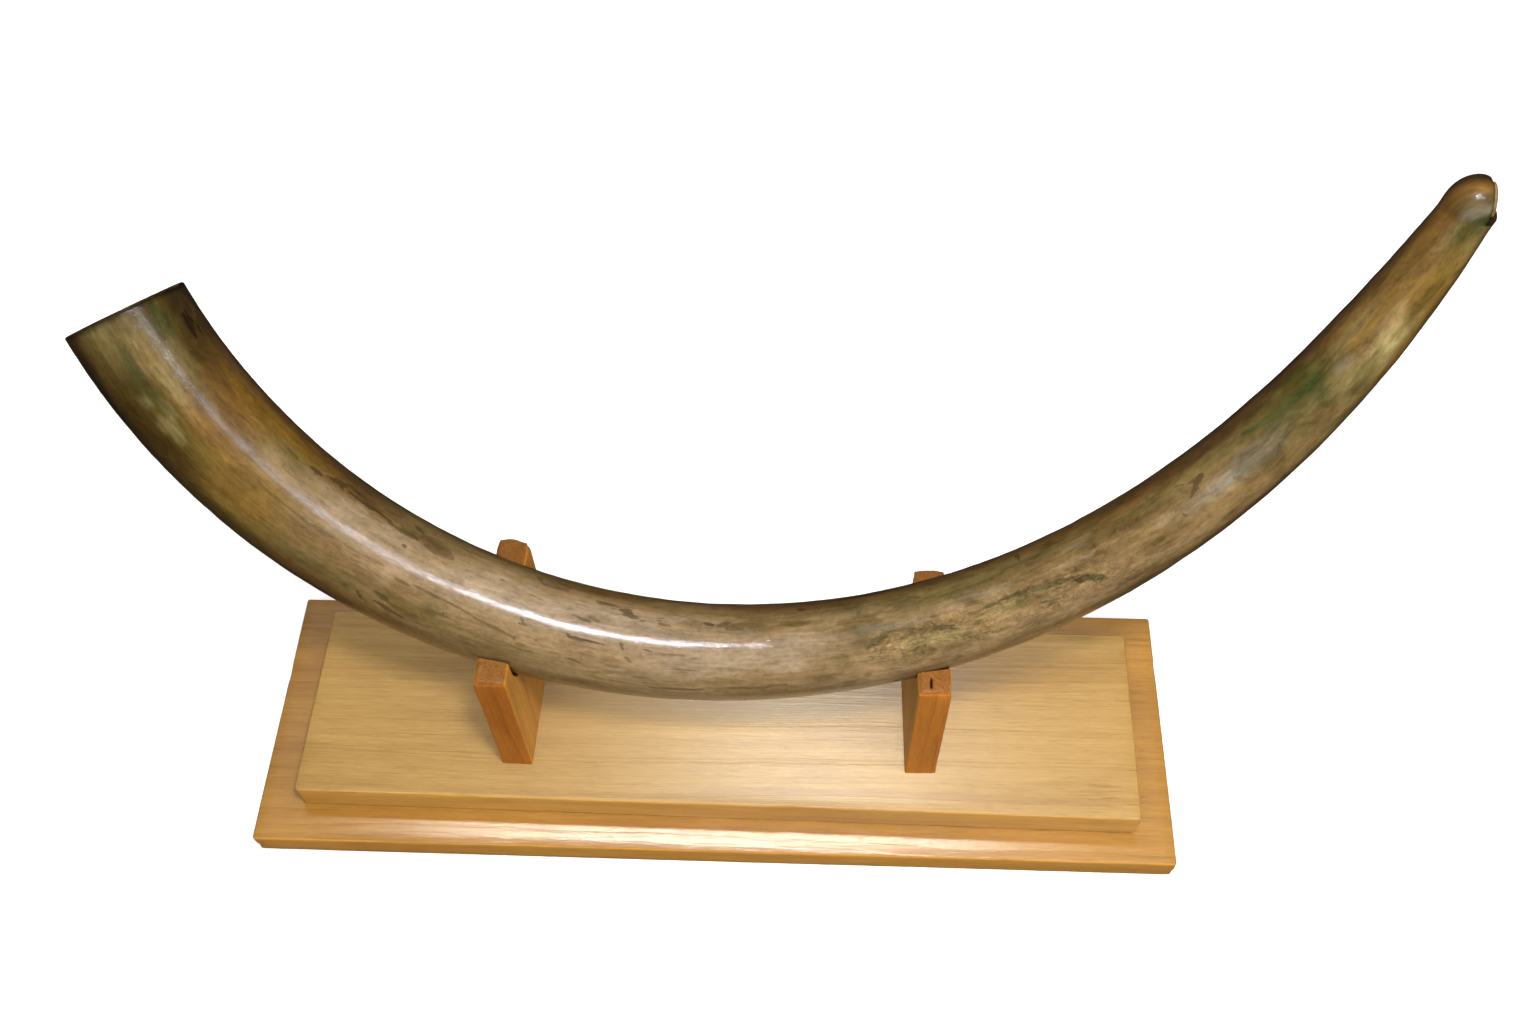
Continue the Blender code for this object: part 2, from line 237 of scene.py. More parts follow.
def sliced(ob, xs, ys, zs):
    """Adds edge loops where the planes x, y or z cut ob, so that its faces can be shaped."""
    bm = bmesh.new()
    bm.from_mesh(ob.data)
    for axis, values in enumerate((xs, ys, zs)):
        normal = [0, 0, 0]
        normal[axis] = 1
        for v in values:
            co = [0, 0, 0]
            co[axis] = v
            bmesh.ops.bisect_plane(bm, geom=bm.verts[:] + bm.edges[:] + bm.faces[:], plane_co=co, plane_no=normal, dist=1e-6)
    bmesh.ops.remove_doubles(bm, verts=bm.verts, dist=1e-6)
    bm.to_mesh(ob.data)
    bm.free()


def points(ob):
    co = np.zeros(len(ob.data.vertices) * 3)
    ob.data.vertices.foreach_get("co", co)
    return co.reshape(-1, 3)


def set_points(ob, co):
    ob.data.vertices.foreach_set("co", np.asarray(co, np.float32).ravel())
    ob.data.update()


def float_attribute(ob, name, values):
    ob.data.attributes.new(name, "FLOAT", "POINT").data.foreach_set("value", np.asarray(values, np.float32))


def vector_attribute(ob, name, values):
    ob.data.attributes.new(name, "FLOAT_VECTOR", "POINT").data.foreach_set("vector", np.asarray(values, np.float32).ravel())


def colour_attribute(ob, name, values):
    rgba = np.ones((len(values), 4), np.float32)
    rgba[:, :3] = values
    ob.data.color_attributes.new(name, "FLOAT_COLOR", "POINT").data.foreach_set("color", rgba.ravel())


# ------------------------------------------------------------------ the horn's line, as in the design
HORN_LENGTH = 0.920
HORN_MIDDLE = (0.04975, -0.00436, 0.13842)
BEND_LEAN = math.radians(4.67)
BEND_TURN = math.radians(15.92)
BEND_HEADING = (-72.68, 176.46, -85.91, 176.44, -130.65)
BEND_TWIST = (34.57, -37.18, -4.65)
HORN_RADIUS = (0.03513, 0.00690, -0.08873, 0.13874, -0.07836)
NARROWING, NARROWING_FROM = 0.0008, 0.92
MOUTH_CENTRE = (0.37245, 0.07745, 0.44390)
MOUTH_FACING = (0.9735, -0.1518, 0.1709)
MOUTH_FACE_RADIUS = 0.0086
BELL_WALL, MID_WALL, BORE_MIN, SEAT_DEPTH = 0.0070, 0.0085, 0.0058, 0.0047
WAX_OUTER, WAX_INNER, WAX_LENGTH = 0.0070, 0.0056, 0.0040
WAX_LIP_RADIUS, WAX_LIP, GAP = 0.0082, 0.0016, 0.0003
SHOW_POINT = np.array([0.067, -0.430, 0.949])      # the horn's show side faces this point


def powers(coeffs, u):
    return sum(c * u ** k for k, c in enumerate(coeffs))


def horn_line(steps=320):
    c, s = math.cos(BEND_TURN), math.sin(BEND_TURN)
    along = np.array([c, s, 0.0])
    level = np.array([-s, c, 0.0])
    rise = math.cos(BEND_LEAN) * np.array([0.0, 0.0, 1.0]) + math.sin(BEND_LEAN) * level
    out = np.cross(along, rise)
    um = (np.arange(steps) + 0.5) / steps
    head = np.radians(powers(BEND_HEADING, um))[:, None]
    twist = np.radians(powers(BEND_TWIST, um))[:, None]
    step_dir = np.cos(twist) * (np.cos(head) * along + np.sin(head) * rise) + np.sin(twist) * out
    pts = np.vstack([np.zeros(3), np.cumsum(step_dir * HORN_LENGTH / steps, axis=0)])
    pts += np.array(HORN_MIDDLE) - pts[steps // 2]
    dirs = np.vstack([step_dir[:1], (step_dir[1:] + step_dir[:-1]) / 2, step_dir[-1:]])
    dirs /= np.linalg.norm(dirs, axis=1)[:, None]
    return np.linspace(0.0, 1.0, steps + 1), pts, dirs


LINE_U, LINE_P, LINE_T = horn_line()


def horn_at(u):
    p = np.array([np.interp(u, LINE_U, LINE_P[:, k]) for k in range(3)])
    t = np.array([np.interp(u, LINE_U, LINE_T[:, k]) for k in range(3)])
    return p, t / np.linalg.norm(t)


def horn_radius(u):
    near_end = max(0.0, (u - NARROWING_FROM) / (1.0 - NARROWING_FROM))
    return powers(HORN_RADIUS, u) - NARROWING * near_end ** 2


MOUTH_P = np.array(MOUTH_CENTRE)
MOUTH_N = np.array(MOUTH_FACING) / np.linalg.norm(MOUTH_FACING)
END_P, END_T = horn_at(1.0)


def mouth_line(w, pull=0.0075, start=None, end=None):
    (a, ta), d = start or (END_P, END_T), MOUTH_P if end is None else end
    b, c = a + ta * pull, d - MOUTH_N * pull
    p = (1 - w) ** 3 * a + 3 * w * (1 - w) ** 2 * b + 3 * w * w * (1 - w) * c + w ** 3 * d
    t = 3 * (1 - w) ** 2 * (b - a) + 6 * w * (1 - w) * (c - b) + 3 * w * w * (d - c)
    return p, t / np.linalg.norm(t)


def frames(stations):
    """Untwisted cross-section axes at each (centre, direction, ...)."""
    ref, made = np.array([0.0, 1.0, 0.0]), []
    for st in stations:
        p, t = st[0], st[1]
        ref = ref - t * float(ref @ t)
        ref = ref / np.linalg.norm(ref)
        made.append((p, t, ref, np.cross(t, ref)))
    return made


# ------------------------------------------------------------------ horn: fine mesh
OUTER_RINGS = 500
BORE_RINGS = 60

stations = []                       # centre, direction, radius, u, kind (0 outside, 1 rim, 2 bore)
p0, t0 = horn_at(0.0)
r0 = horn_radius(0.0)
for k in range(7):                  # the broken outer corner of the sawn rim
    a = math.pi / 2 * k / 6
    stations.append((p0 + t0 * 0.0012 * (1 - math.sin(a)), t0, r0 - 0.0012 * (1 - math.cos(a)), 0.0, 0))
stations = stations[::-1]
for u in np.linspace(0.0, 1.0, OUTER_RINGS)[2:]:
    p, t = horn_at(u)
    stations.append((p, t, horn_radius(u), u, 0))
end_r = horn_radius(1.0)
TIP_RINGS = 40
for k in range(1, TIP_RINGS + 1):
    w = k / TIP_RINGS
    p, t = mouth_line(w)
    fall = max(0.0, (w - 0.45) / 0.55)
    stations.append((p, t, MOUTH_FACE_RADIUS + (end_r - MOUTH_FACE_RADIUS) * math.sqrt(max(0.0, 1.0 - fall ** 3.2)), 1.0 + 0.02 * w, 0))
outer_count = len(stations)
stations.append((MOUTH_P, MOUTH_N, (MOUTH_FACE_RADIUS + WAX_OUTER + GAP) / 2, 1.02, 1))
seat = MOUTH_P - MOUTH_N * SEAT_DEPTH
bore = [(MOUTH_P, MOUTH_N, WAX_OUTER + GAP, 1.02, 1), (MOUTH_P - MOUTH_N * SEAT_DEPTH * 0.5, MOUTH_N, WAX_OUTER + GAP, 1.02, 2), (seat, MOUTH_N, WAX_OUTER + GAP, 1.01, 2), (seat, MOUTH_N, BORE_MIN, 1.01, 2)]
bend_from = 0.975
for k in range(1, 13):
    p, t = mouth_line(1.0 - k / 13, 0.009, horn_at(bend_from), seat)
    bore.append((p, t, BORE_MIN, bend_from + 0.03 * (1 - k / 13), 2))


def bore_radius(u):
    wall = BELL_WALL + (MID_WALL - BELL_WALL) * min(1.0, u / 0.25)
    open_r = horn_radius(u) - wall
    mix = min(1.0, (bend_from - u) / 0.40)
    return BORE_MIN + (open_r - BORE_MIN) * mix * mix * (3 - 2 * mix)


for u in np.linspace(bend_from, 0.0, BORE_RINGS)[:-1]:
    p, t = horn_at(u)
    bore.append((p, t, bore_radius(u), u, 2))
rb = bore_radius(0.0)
for k in range(1, 5):               # the bore's edge at the rim is broken too
    a = math.pi / 2 * k / 4
    bore.append((p0 + t0 * 0.0008 * (1 - math.sin(a)), t0, rb + 0.0008 * (1 - math.cos(a)), 0.0, 2))
stations += bore
rim_from, rim_to = rb + 0.0008, r0 - 0.0012
for k in range(1, 8):
    stations.append((p0, t0, rim_from + (rim_to - rim_from) * k / 8, 0.0, 1))

# one set of cross-section axes for each station; the bore reuses the outside's turning
axes = [None] * len(stations)
outside = frames(stations[:outer_count])
outer_u = np.array([s[3] for s in stations[:outer_count]])
for i, st in enumerate(stations):
    if i < outer_count:
        axes[i] = outside[i][2:]
        continue
    j = int(np.clip(np.searchsorted(outer_u, st[3]), 0, outer_count - 1))
    ref = outside[j][2]
    ref = ref - st[1] * float(ref @ st[1])
    ref = ref / np.linalg.norm(ref)
    axes[i] = (ref, np.cross(st[1], ref))

# the show side gets most of the lengthwise edges, so that its marks stay crisp
spread = np.concatenate([np.linspace(-84, 84, 106), np.linspace(84, 276, 33)[1:-1]])
M = len(spread)
N = len(stations)
centre = np.array([s[0] for s in stations])
direct = np.array([s[1] for s in stations])
radius = np.array([s[2] for s in stations])
u_of = np.array([s[3] for s in stations])
kind = np.array([s[4] for s in stations])
ref = np.array([a[0] for a in axes])
oth = np.array([a[1] for a in axes])
show = SHOW_POINT - centre
turn_all = np.unwrap(np.arctan2((show * oth).sum(1), (show * ref).sum(1))[:outer_count])
straight = outer_u <= 1.0
turn0 = np.interp(u_of, outer_u[straight], turn_all[straight])
PHI = np.broadcast_to(np.radians(spread), (N, M))
A = PHI + turn0[:, None]
PHI = (PHI + math.pi) % (2 * math.pi) - math.pi                         # 0 on the show side, positive below
arc = np.concatenate([[0], np.cumsum(np.hypot(np.linalg.norm(np.diff(centre[:outer_count], axis=0), axis=1), np.diff(radius[:outer_count])))])
s_of = np.where(np.arange(N) < outer_count, np.interp(np.arange(N), np.arange(outer_count), arc), u_of * HORN_LENGTH)
U = np.repeat(u_of[:, None], M, 1)
S = np.repeat(s_of[:, None], M, 1)
KIND = np.repeat(kind[:, None], M, 1)
flat = lambda x: np.asarray(x).reshape(-1)
rr0 = np.repeat(radius[:, None], M, 1).reshape(-1)
lay = np.stack([flat(np.cos(PHI)) * rr0, flat(np.sin(PHI)) * rr0, flat(S)], 1)      # the horn, straightened out

uf, pf, kf, sf = flat(U), flat(PHI), flat(KIND), flat(S)
deg = np.degrees(pf)

# the worn, rougher stretch right of the middle, where the skin of the horn was not polished away
rough_zone = smooth(0.545, 0.58, uf) * (1 - smooth(0.725, 0.80, uf)) * smooth(-48, -12, deg) * (1 - smooth(38, 62, deg))
rough_zone = np.clip(rough_zone * (0.85 + 1.3 * layered(lay * [70, 70, 26], 41, 3)), 0, 1)
peeled = smooth(0.550, 0.568, uf) * (1 - smooth(0.705, 0.735, uf)) * smooth(-9, 0, deg) * (1 - smooth(26, 38, deg))
peeled = np.clip(peeled * (1.05 + 1.6 * layered(lay * [120, 120, 50], 43, 3)), 0, 1)
pits = layered(lay * [380, 380, 190], 7, 3)
lumps = layered(lay * [38, 38, 9], 3, 3)
swell = layered(lay * [42, 42, 80], 9, 2)
ripple = layered(lay * [75, 75, 185], 13, 2)
fibres = layered(lay * [330, 330, 18], 11, 3)
relief = 0.00020 * lumps + 0.00015 * swell + 0.00006 * ripple + 0.000035 * fibres
relief += -0.00020 * peeled * np.clip(pits + 0.30, 0, 1) - 0.00012 * peeled - 0.00008 * rough_zone * np.clip(pits, 0, 1)
# shallow, uneven growth rings near the open end
relief += 0.00005 * np.sin(sf * 2 * math.pi / 0.0135 + 9.0 * layered(lay * [28, 28, 34], 5, 3)) * (1 - smooth(0.10, 0.24, uf)) * np.clip(0.4 + layered(lay * [30, 30, 30], 6, 2), 0, 1)
inside = -0.00025 * layered(lay * [60, 60, 30], 19, 4) - 0.00012 * layered(lay * [260, 260, 260], 23, 3)
tip_soft = smooth(0.0, 0.012, sf) * (1 - smooth(1.004, 1.018, uf))
# the tip's upper shoulder is fuller than the rest of its round
shoulder = 0.0004 * np.exp(-((deg + 78) / 40.0) ** 2) * smooth(0.955, 1.004, uf) * (1 - smooth(1.009, 1.019, uf))
move = np.where(kf == 0, relief * (0.2 + 0.8 * tip_soft) + shoulder, np.where(kf == 2, inside * smooth(0.0, 0.012, uf * HORN_LENGTH) * (1 - smooth(0.93, 0.96, uf)), 0.0))
rr = rr0 + move
verts = centre.repeat(M, 0) + rr[:, None] * (np.cos(flat(A))[:, None] * ref.repeat(M, 0) + np.sin(flat(A))[:, None] * oth.repeat(M, 0))
# saw marks across the rim, and a small chip out of its upper corner
on_rim = uf < 1e-6
saw = 0.00010 * np.sin((verts @ oth[0]) * 2 * math.pi / 0.0023) + 0.00016 * layered(verts * 260, 29, 3)
chip = np.exp(-((deg + 62) / 9.0) ** 2) * smooth(rb + 0.0035, r0, rr)
verts += np.where(on_rim, np.maximum(saw * smooth(rb, rb + 0.002, rr) + 0.0011 * chip, 0.0), 0.0)[:, None] * t0

faces = []
for i in range(N):
    j = (i + 1) % N
    a, b = i * M, j * M
    for k in range(M):
        k2 = (k + 1) % M
        faces.append((a + k, a + k2, b + k2, b + k))

# ---- the horn's colours: what lies where along the skin
TONES = {
    "black": (30, 22, 11), "bark": (60, 44, 24), "umber": (88, 64, 34), "brown": (114, 84, 44),
    "olive": (92, 77, 30), "moss": (66, 72, 32), "gold": (134, 104, 47), "amber": (142, 104, 46),
    "tan": (136, 109, 68), "sand": (160, 131, 92), "beige": (170, 144, 110), "cream": (184, 161, 132),
    "pale": (192, 171, 146), "grey": (124, 113, 92), "straw": (168, 150, 98), "khaki": (118, 101, 58),
    "ochre": (136, 100, 34), "pitch": (76, 56, 22), "rust": (106, 74, 32), "ash": (140, 128, 108),
}
ANGLES = (-180, -115, -78, -60, -45, -30, -12, 6, 25, 45, 60, 74, 90, 125, 180)
# Partly painted shade: the bark and black in the columns at 74 and 90 degrees, and at -78 near the open end, lie along
# the horn's edges as seen from the show point and are darker than its back. They are partly the horn's own colour and
# partly painted shade where the light falls off round the edges.
LAYOUT = (
    (0.000, "bark bark black bark bark olive pitch khaki khaki khaki umber bark black bark bark"),
    (0.040, "umber bark bark umber pitch pitch khaki gold olive pitch pitch black black bark umber"),
    (0.080, "umber bark umber brown ochre rust brown ochre olive pitch pitch bark black bark umber"),
    (0.130, "brown umber umber rust ochre khaki sand gold gold gold olive umber bark umber brown"),
    (0.180, "brown umber umber umber brown tan beige sand tan khaki brown umber bark umber brown"),
    (0.240, "brown umber umber tan tan sand beige sand tan tan brown umber bark umber brown"),
    (0.300, "tan brown umber tan sand beige cream sand sand tan tan brown umber brown tan"),
    (0.370, "tan brown brown brown sand cream beige sand sand sand tan brown umber brown tan"),
    (0.430, "tan umber umber tan tan beige sand beige beige sand sand brown umber brown tan"),
    (0.500, "tan umber umber brown tan sand beige beige sand sand tan tan umber brown tan"),
    (0.560, "tan umber bark brown khaki sand tan tan sand sand sand brown umber brown tan"),
    (0.620, "brown umber umber brown khaki khaki sand tan sand sand tan umber umber umber brown"),
    (0.700, "brown umber umber brown khaki tan tan tan sand sand tan brown bark umber brown"),
    (0.760, "brown umber umber umber brown khaki tan tan tan sand tan brown bark umber brown"),
    (0.820, "umber bark bark umber umber khaki tan ash tan tan tan umber bark umber umber"),
    (0.885, "umber bark black umber pitch olive moss khaki khaki tan khaki umber bark bark umber"),
    (0.925, "umber bark bark umber brown khaki gold tan straw straw gold brown bark umber umber"),
    (0.965, "brown bark bark umber umber brown gold gold gold gold gold umber bark umber brown"),
    (1.004, "brown umber bark umber rust rust brown khaki olive khaki khaki umber bark umber brown"),
    (1.020, "brown umber bark rust amber khaki khaki grey moss moss olive umber bark umber brown"),
)
# soft patches on top: u, angle, half length in u, half width in degrees, tone, strength
PATCHES = (
    (0.016, -26, 0.016, 10, "moss", 0.7), (0.046, 5, 0.022, 8, "straw", 0.55), (0.036, 14, 0.010, 5, "sand", 0.4), (0.060, 20, 0.010, 4, "straw", 0.35), (0.040, 22, 0.020, 7, "moss", 0.6),
    (0.068, 30, 0.016, 7, "straw", 0.32), (0.030, 47, 0.020, 9, "olive", 0.5), (0.085, -30, 0.034, 14, "amber", 0.45),
    # Painted sheen: the thin grey streaks at -9 degrees, at u 0.050 on this line and u 0.115 on the next, lie along the
    # gloss line.
    (0.062, -38, 0.016, 9, "umber", 0.5), (0.095, 4, 0.024, 8, "amber", 0.7), (0.050, -9, 0.034, 4, "grey", 0.40),
    (0.130, 28, 0.026, 11, "amber", 0.45), (0.115, -9, 0.024, 4, "grey", 0.30), (0.150, -28, 0.012, 8, "sand", 0.5),
    (0.178, 16, 0.022, 11, "brown", 0.50), (0.243, 15, 0.014, 7, "brown", 0.45), (0.226, 12, 0.005, 9, "beige", 0.5),
    (0.252, 32, 0.018, 9, "olive", 0.45), (0.300, 36, 0.030, 9, "khaki", 0.45), (0.262, 21, 0.010, 6, "moss", 0.3),
    (0.240, -40, 0.018, 7, "umber", 0.45), (0.195, -47, 0.020, 6, "umber", 0.4), (0.205, -27, 0.036, 10, "cream", 0.4),
    (0.310, -38, 0.020, 6, "pale", 0.35), (0.365, -24, 0.020, 5, "brown", 0.35), (0.410, -18, 0.036, 4, "grey", 0.5),
    (0.445, -32, 0.016, 6, "umber", 0.4), (0.478, -30, 0.018, 9, "khaki", 0.6), (0.490, -18, 0.012, 8, "brown", 0.3),
    (0.430, 40, 0.036, 5, "khaki", 0.4), (0.355, 38, 0.030, 8, "khaki", 0.35), (0.385, 22, 0.006, 10, "brown", 0.35),
    (0.465, 12, 0.030, 12, "cream", 0.4), (0.440, 24, 0.014, 5, "pale", 0.3), (0.503, 14, 0.014, 14, "pale", 0.3),
    (0.508, -32, 0.012, 4, "olive", 0.55), (0.557, -22, 0.014, 11, "olive", 0.5), (0.524, 40, 0.020, 7, "olive", 0.5),
    (0.535, 22, 0.014, 12, "khaki", 0.4), (0.575, -12, 0.022, 5, "grey", 0.55), (0.615, -24, 0.018, 5, "sand", 0.4),
    (0.600, 16, 0.026, 10, "straw", 0.55), (0.655, 7, 0.022, 7, "straw", 0.6), (0.620, 30, 0.050, 8, "khaki", 0.4),
    (0.640, -20, 0.020, 6, "grey", 0.5), (0.716, -28, 0.013, 9, "grey", 0.45), (0.714, -12, 0.022, 5, "beige", 0.60),
    (0.740, -26, 0.014, 14, "brown", 0.35), (0.745, 20, 0.020, 12, "sand", 0.35), (0.730, 42, 0.012, 9, "umber", 0.45),
    (0.770, 2, 0.014, 8, "beige", 0.5), (0.830, -4, 0.014, 8, "grey", 0.4), (0.838, 14, 0.020, 14, "grey", 0.6),
    (0.848, -24, 0.010, 8, "moss", 0.40), (0.858, -17, 0.007, 7, "moss", 0.35), (0.880, -48, 0.009, 12, "moss", 0.35), (0.889, -20, 0.006, 12, "moss", 0.5), (0.862, -42, 0.014, 9, "khaki", 0.35), (0.893, -36, 0.012, 16, "moss", 0.4),
    (0.891, 2, 0.007, 18, "moss", 0.60), (0.880, 36, 0.010, 16, "umber", 0.4), (0.910, 3, 0.009, 12, "ash", 0.35),
    (0.914, 34, 0.012, 16, "olive", 0.5), (0.935, -22, 0.018, 9, "tan", 0.35), (0.965, 34, 0.024, 11, "olive", 0.4),
    (0.945, 14, 0.014, 10, "sand", 0.4), (0.955, -36, 0.030, 9, "gold", 0.4), (0.978, 6, 0.012, 14, "brown", 0.35),
    # Partly painted highlight: the ash patch at u 1.014 on the front of the tip stands where the tip's soft gloss
    # falls, over its own grey-green colour.
    (1.014, 0, 0.009, 26, "ash", 0.55), (1.004, 34, 0.016, 26, "moss", 0.45), (0.988, -22, 0.012, 12, "rust", 0.3),
    (0.250, 150, 0.050, 22, "umber", 0.5), (0.420, -140, 0.060, 20, "umber", 0.5), (0.600, 140, 0.050, 20, "moss", 0.35),
    (0.760, -150, 0.050, 18, "bark", 0.5), (0.140, -130, 0.040, 20, "gold", 0.5), (0.880, 160, 0.030, 26, "moss", 0.5),
    (0.480, 170, 0.050, 26, "sand", 0.4), (0.060, 140, 0.040, 30, "gold", 0.4), (0.330, -105, 0.040, 16, "sand", 0.3),
)
# crisp dark checks, stains and scratches: from u, angle to u, angle, half width in mm, tone, strength
STROKES = (
    (.016, -51, .036, -51, 1.5, "black", 1.0), (.018, -44, .035, -42, 1.3, "black", 1.0), (.021, -47.5, .031, -47, .8, "black", .8),
    (.020, -62, .040, -60, 2.2, "black", .5), (.012, -58, .020, -55, 1.4, "black", .4), (.006, -33, .020, -24, 1.6, "bark", .45),
    (.022, 17, .050, 24, 1.8, "bark", .40), (.030, 30, .052, 33, 1.5, "bark", .40), (.008, 38, .030, 42, 1.5, "bark", .35),
    (.145, -38, .158, -39, 1.3, "bark", .85), (.158, -41, .178, -50, 1.6, "bark", .85), (.165, -47, .172, -42, 1.6, "bark", .8),
    (.172, -50, .196, -51, 1.3, "bark", .8), (.176, -43, .212, -40, .9, "bark", .9), (.210, -38, .233, -37, 1.1, "bark", .75),
    (.235, -43, .256, -41, 2.4, "umber", .7), (.240, -36, .260, -34, 2.2, "umber", .6), (.228, -52, .234, -49, 1.5, "bark", .8),
    (.204, -52, .216, -53, 1.2, "umber", .7), (.226, -22.5, .229, -22.5, .9, "umber", .9), (.126, -37, .136, -35, .9, "umber", .6),
    (.075, 7, .118, 6, .6, "umber", .55), (.128, 7, .160, 7.5, .6, "umber", .6), (.168, 9, .188, 5, .9, "umber", .6),
    (.188, 5, .222, 4, .9, "brown", .7), (.233, 9, .244, 9.5, .9, "umber", .6), (.241, 6, .278, 10, .7, "umber", .8),
    (.278, 10, .318, 20, .7, "umber", .7), (.262, 7, .290, 11, .5, "umber", .6), (.226, 31, .235, 33, 1.6, "moss", .9),
    (.216, 40, .221, 47, 1.1, "bark", .8), (.228, 42, .249, 46, 1.2, "bark", .75), (.236, 36, .246, 36, 1.3, "olive", .6),
    (.263, 17, .268, 20, .8, "moss", .8), (.268, 24, .272, 20, .8, "moss", .7), (.318, 19, .3195, 24, .9, "moss", .7),
    (.320, 27, .326, 27, 1.1, "olive", .6), (.337, 26, .352, 26, .6, "umber", .7), (.352, 27, .366, 31, .7, "umber", .8),
    (.333, 15, .333, 18, .7, "umber", .7), (.318, -3, .323, 2, 1.0, "bark", .75), (.318, 3, .325, 3, .9, "bark", .7),
    (.350, 0, .353, 2, 1.3, "bark", .8), (.351, 3, .380, 5, .7, "bark", .95), (.354, 5, .366, 6.5, .6, "umber", .7),
    (.389, 1, .3905, 7, 1.1, "olive", 1.0), (.398, 3, .411, 4.5, .6, "bark", .8), (.393, 16, .398, 19, 1.2, "brown", .9),
    (.296, -36, .312, -32, .8, "umber", .8), (.312, -32, .330, -28, .7, "umber", .7), (.366, -45, .382, -43, 1.1, "bark", .85),
    (.367, -42, .372, -41, .7, "umber", .7), (.384, -38, .392, -36, 1.6, "bark", .85), (.390, -36, .398, -31, 1.3, "bark", .85),
    (.398, -31, .404, -29, .9, "umber", .8), (.410, -37, .418, -38, .9, "bark", .8), (.410, -33, .422, -32, .9, "bark", .75),
    (.413, -28, .421, -27, .8, "umber", .7), (.446, -34, .452, -32, 1.3, "bark", .85), (.424, -36, .427, -39, .7, "umber", .7),
    (.356, -18.5, .366, -17.5, 1.0, "bark", .9), (.352, -20, .360, -19, .7, "umber", .7), (.455, -31, .462, -36, 1.7, "umber", .8),
    (.460, -28, .472, -28, 1.9, "umber", .7), (.473, -33, .485, -33, 2.1, "umber", .6), (.468, -24, .480, -23, 1.3, "grey", .7),
    (.322, -61, .324, -52, 1.4, "bark", .7), (.326, -50, .345, -51, 1.0, "umber", .7), (.337, -60, .348, -58, 1.1, "bark", .6),
    (.365, -62, .372, -58, 1.1, "umber", .6), (.425, 17, .440, 17, .5, "umber", .5), (.424, 22, .443, 23, .5, "umber", .6),
    (.427, 26, .436, 26, .6, "brown", .6), (.420, 6, .434, 6, .5, "umber", .6), (.436, 9, .444, 8, .5, "brown", .6),
    (.400, 38, .412, 38, .7, "umber", .6), (.440, 37, .500, 36, 1.0, "gold", .6), (.410, 52, .450, 49, 1.0, "umber", .65),
    (.450, 49, .500, 46, 1.0, "umber", .65), (.370, 46, .400, 49, .8, "brown", .5), (.280, 44, .300, 46, .9, "umber", .5),
    (.512, -54, .516, -53, 1.2, "bark", .85), (.500, -33, .520, -32, 1.6, "olive", .7), (.545, -60, .560, -58, 1.2, "umber", .5),
    (.556, 12, .564, 2, 1.0, "moss", .7), (.564, 2, .578, -5, 1.0, "moss", .65), (.578, -5, .600, 3, .9, "moss", .6),
    (.600, 3, .618, 11, 1.0, "moss", .75), (.562, 8, .570, 3, .8, "bark", .6), (.606, 2, .620, 8, .9, "bark", .6),
    (.640, -2, .657, -5, 1.0, "moss", .9), (.655, -4, .672, -3, 1.0, "moss", .85), (.627, -1, .640, 0, .7, "olive", .6),
    (.676, 0, .692, 4, 1.1, "moss", .75), (.690, 4, .700, 8, 1.1, "moss", .65), (.703, 10, .712, 16, 1.9, "bark", .9),
    (.710, 15, .720, 25, 1.5, "moss", .85), (.700, 2, .716, 8, .7, "sand", .5), (.714, 7, .720, 18, .6, "sand", .5),
    (.676, 17, .682, 20, 1.1, "moss", .85), (.683, 21, .690, 22, .8, "moss", .7), (.585, -30, .610, -38, .8, "umber", .5),
    (.590, -46, .600, -41, .8, "umber", .55), (.600, -36, .612, -30, .8, "khaki", .6), (.671, -62, .674, -44, 1.1, "bark", .8),
    (.765, -39, .772, -35, 1.3, "umber", .8), (.778, -46, .784, -42, 1.0, "umber", .6), (.787, -30, .796, -22, 1.2, "umber", .7),
    (.807, -16, .799, -9, 1.5, "bark", .80), (.802, -12, .793, -3, 1.0, "bark", .75), (.797, -20, .805, -17, .8, "umber", .6),
    (.783, 6, .785, 14, .8, "moss", .6), (.826, 8, .836, 3, .8, "khaki", .6), (.836, 3, .850, 8, .8, "khaki", .7),
    (.830, 16, .838, 27, .9, "khaki", .6), (.845, 5, .856, 14, .8, "khaki", .6), (.822, 12, .826, 24, .8, "khaki", .55),
    (.842, -27, .850, -24, .9, "moss", .6), (.891, -8, .893, 8, .8, "moss", .6), (.886, -22, .890, -14, .9, "moss", .5),
    (.945, -5, .968, 2, 1.2, "brown", .55), (.960, -20, .975, -8, 1.2, "umber", .45), (.955, 20, .970, 24, 1.2, "brown", .5),
    (.975, -15, .985, 5, 1.0, "brown", .5), (.930, -10, .950, -14, .9, "brown", .4), (.755, 24, .775, 28, .9, "khaki", .5),
)


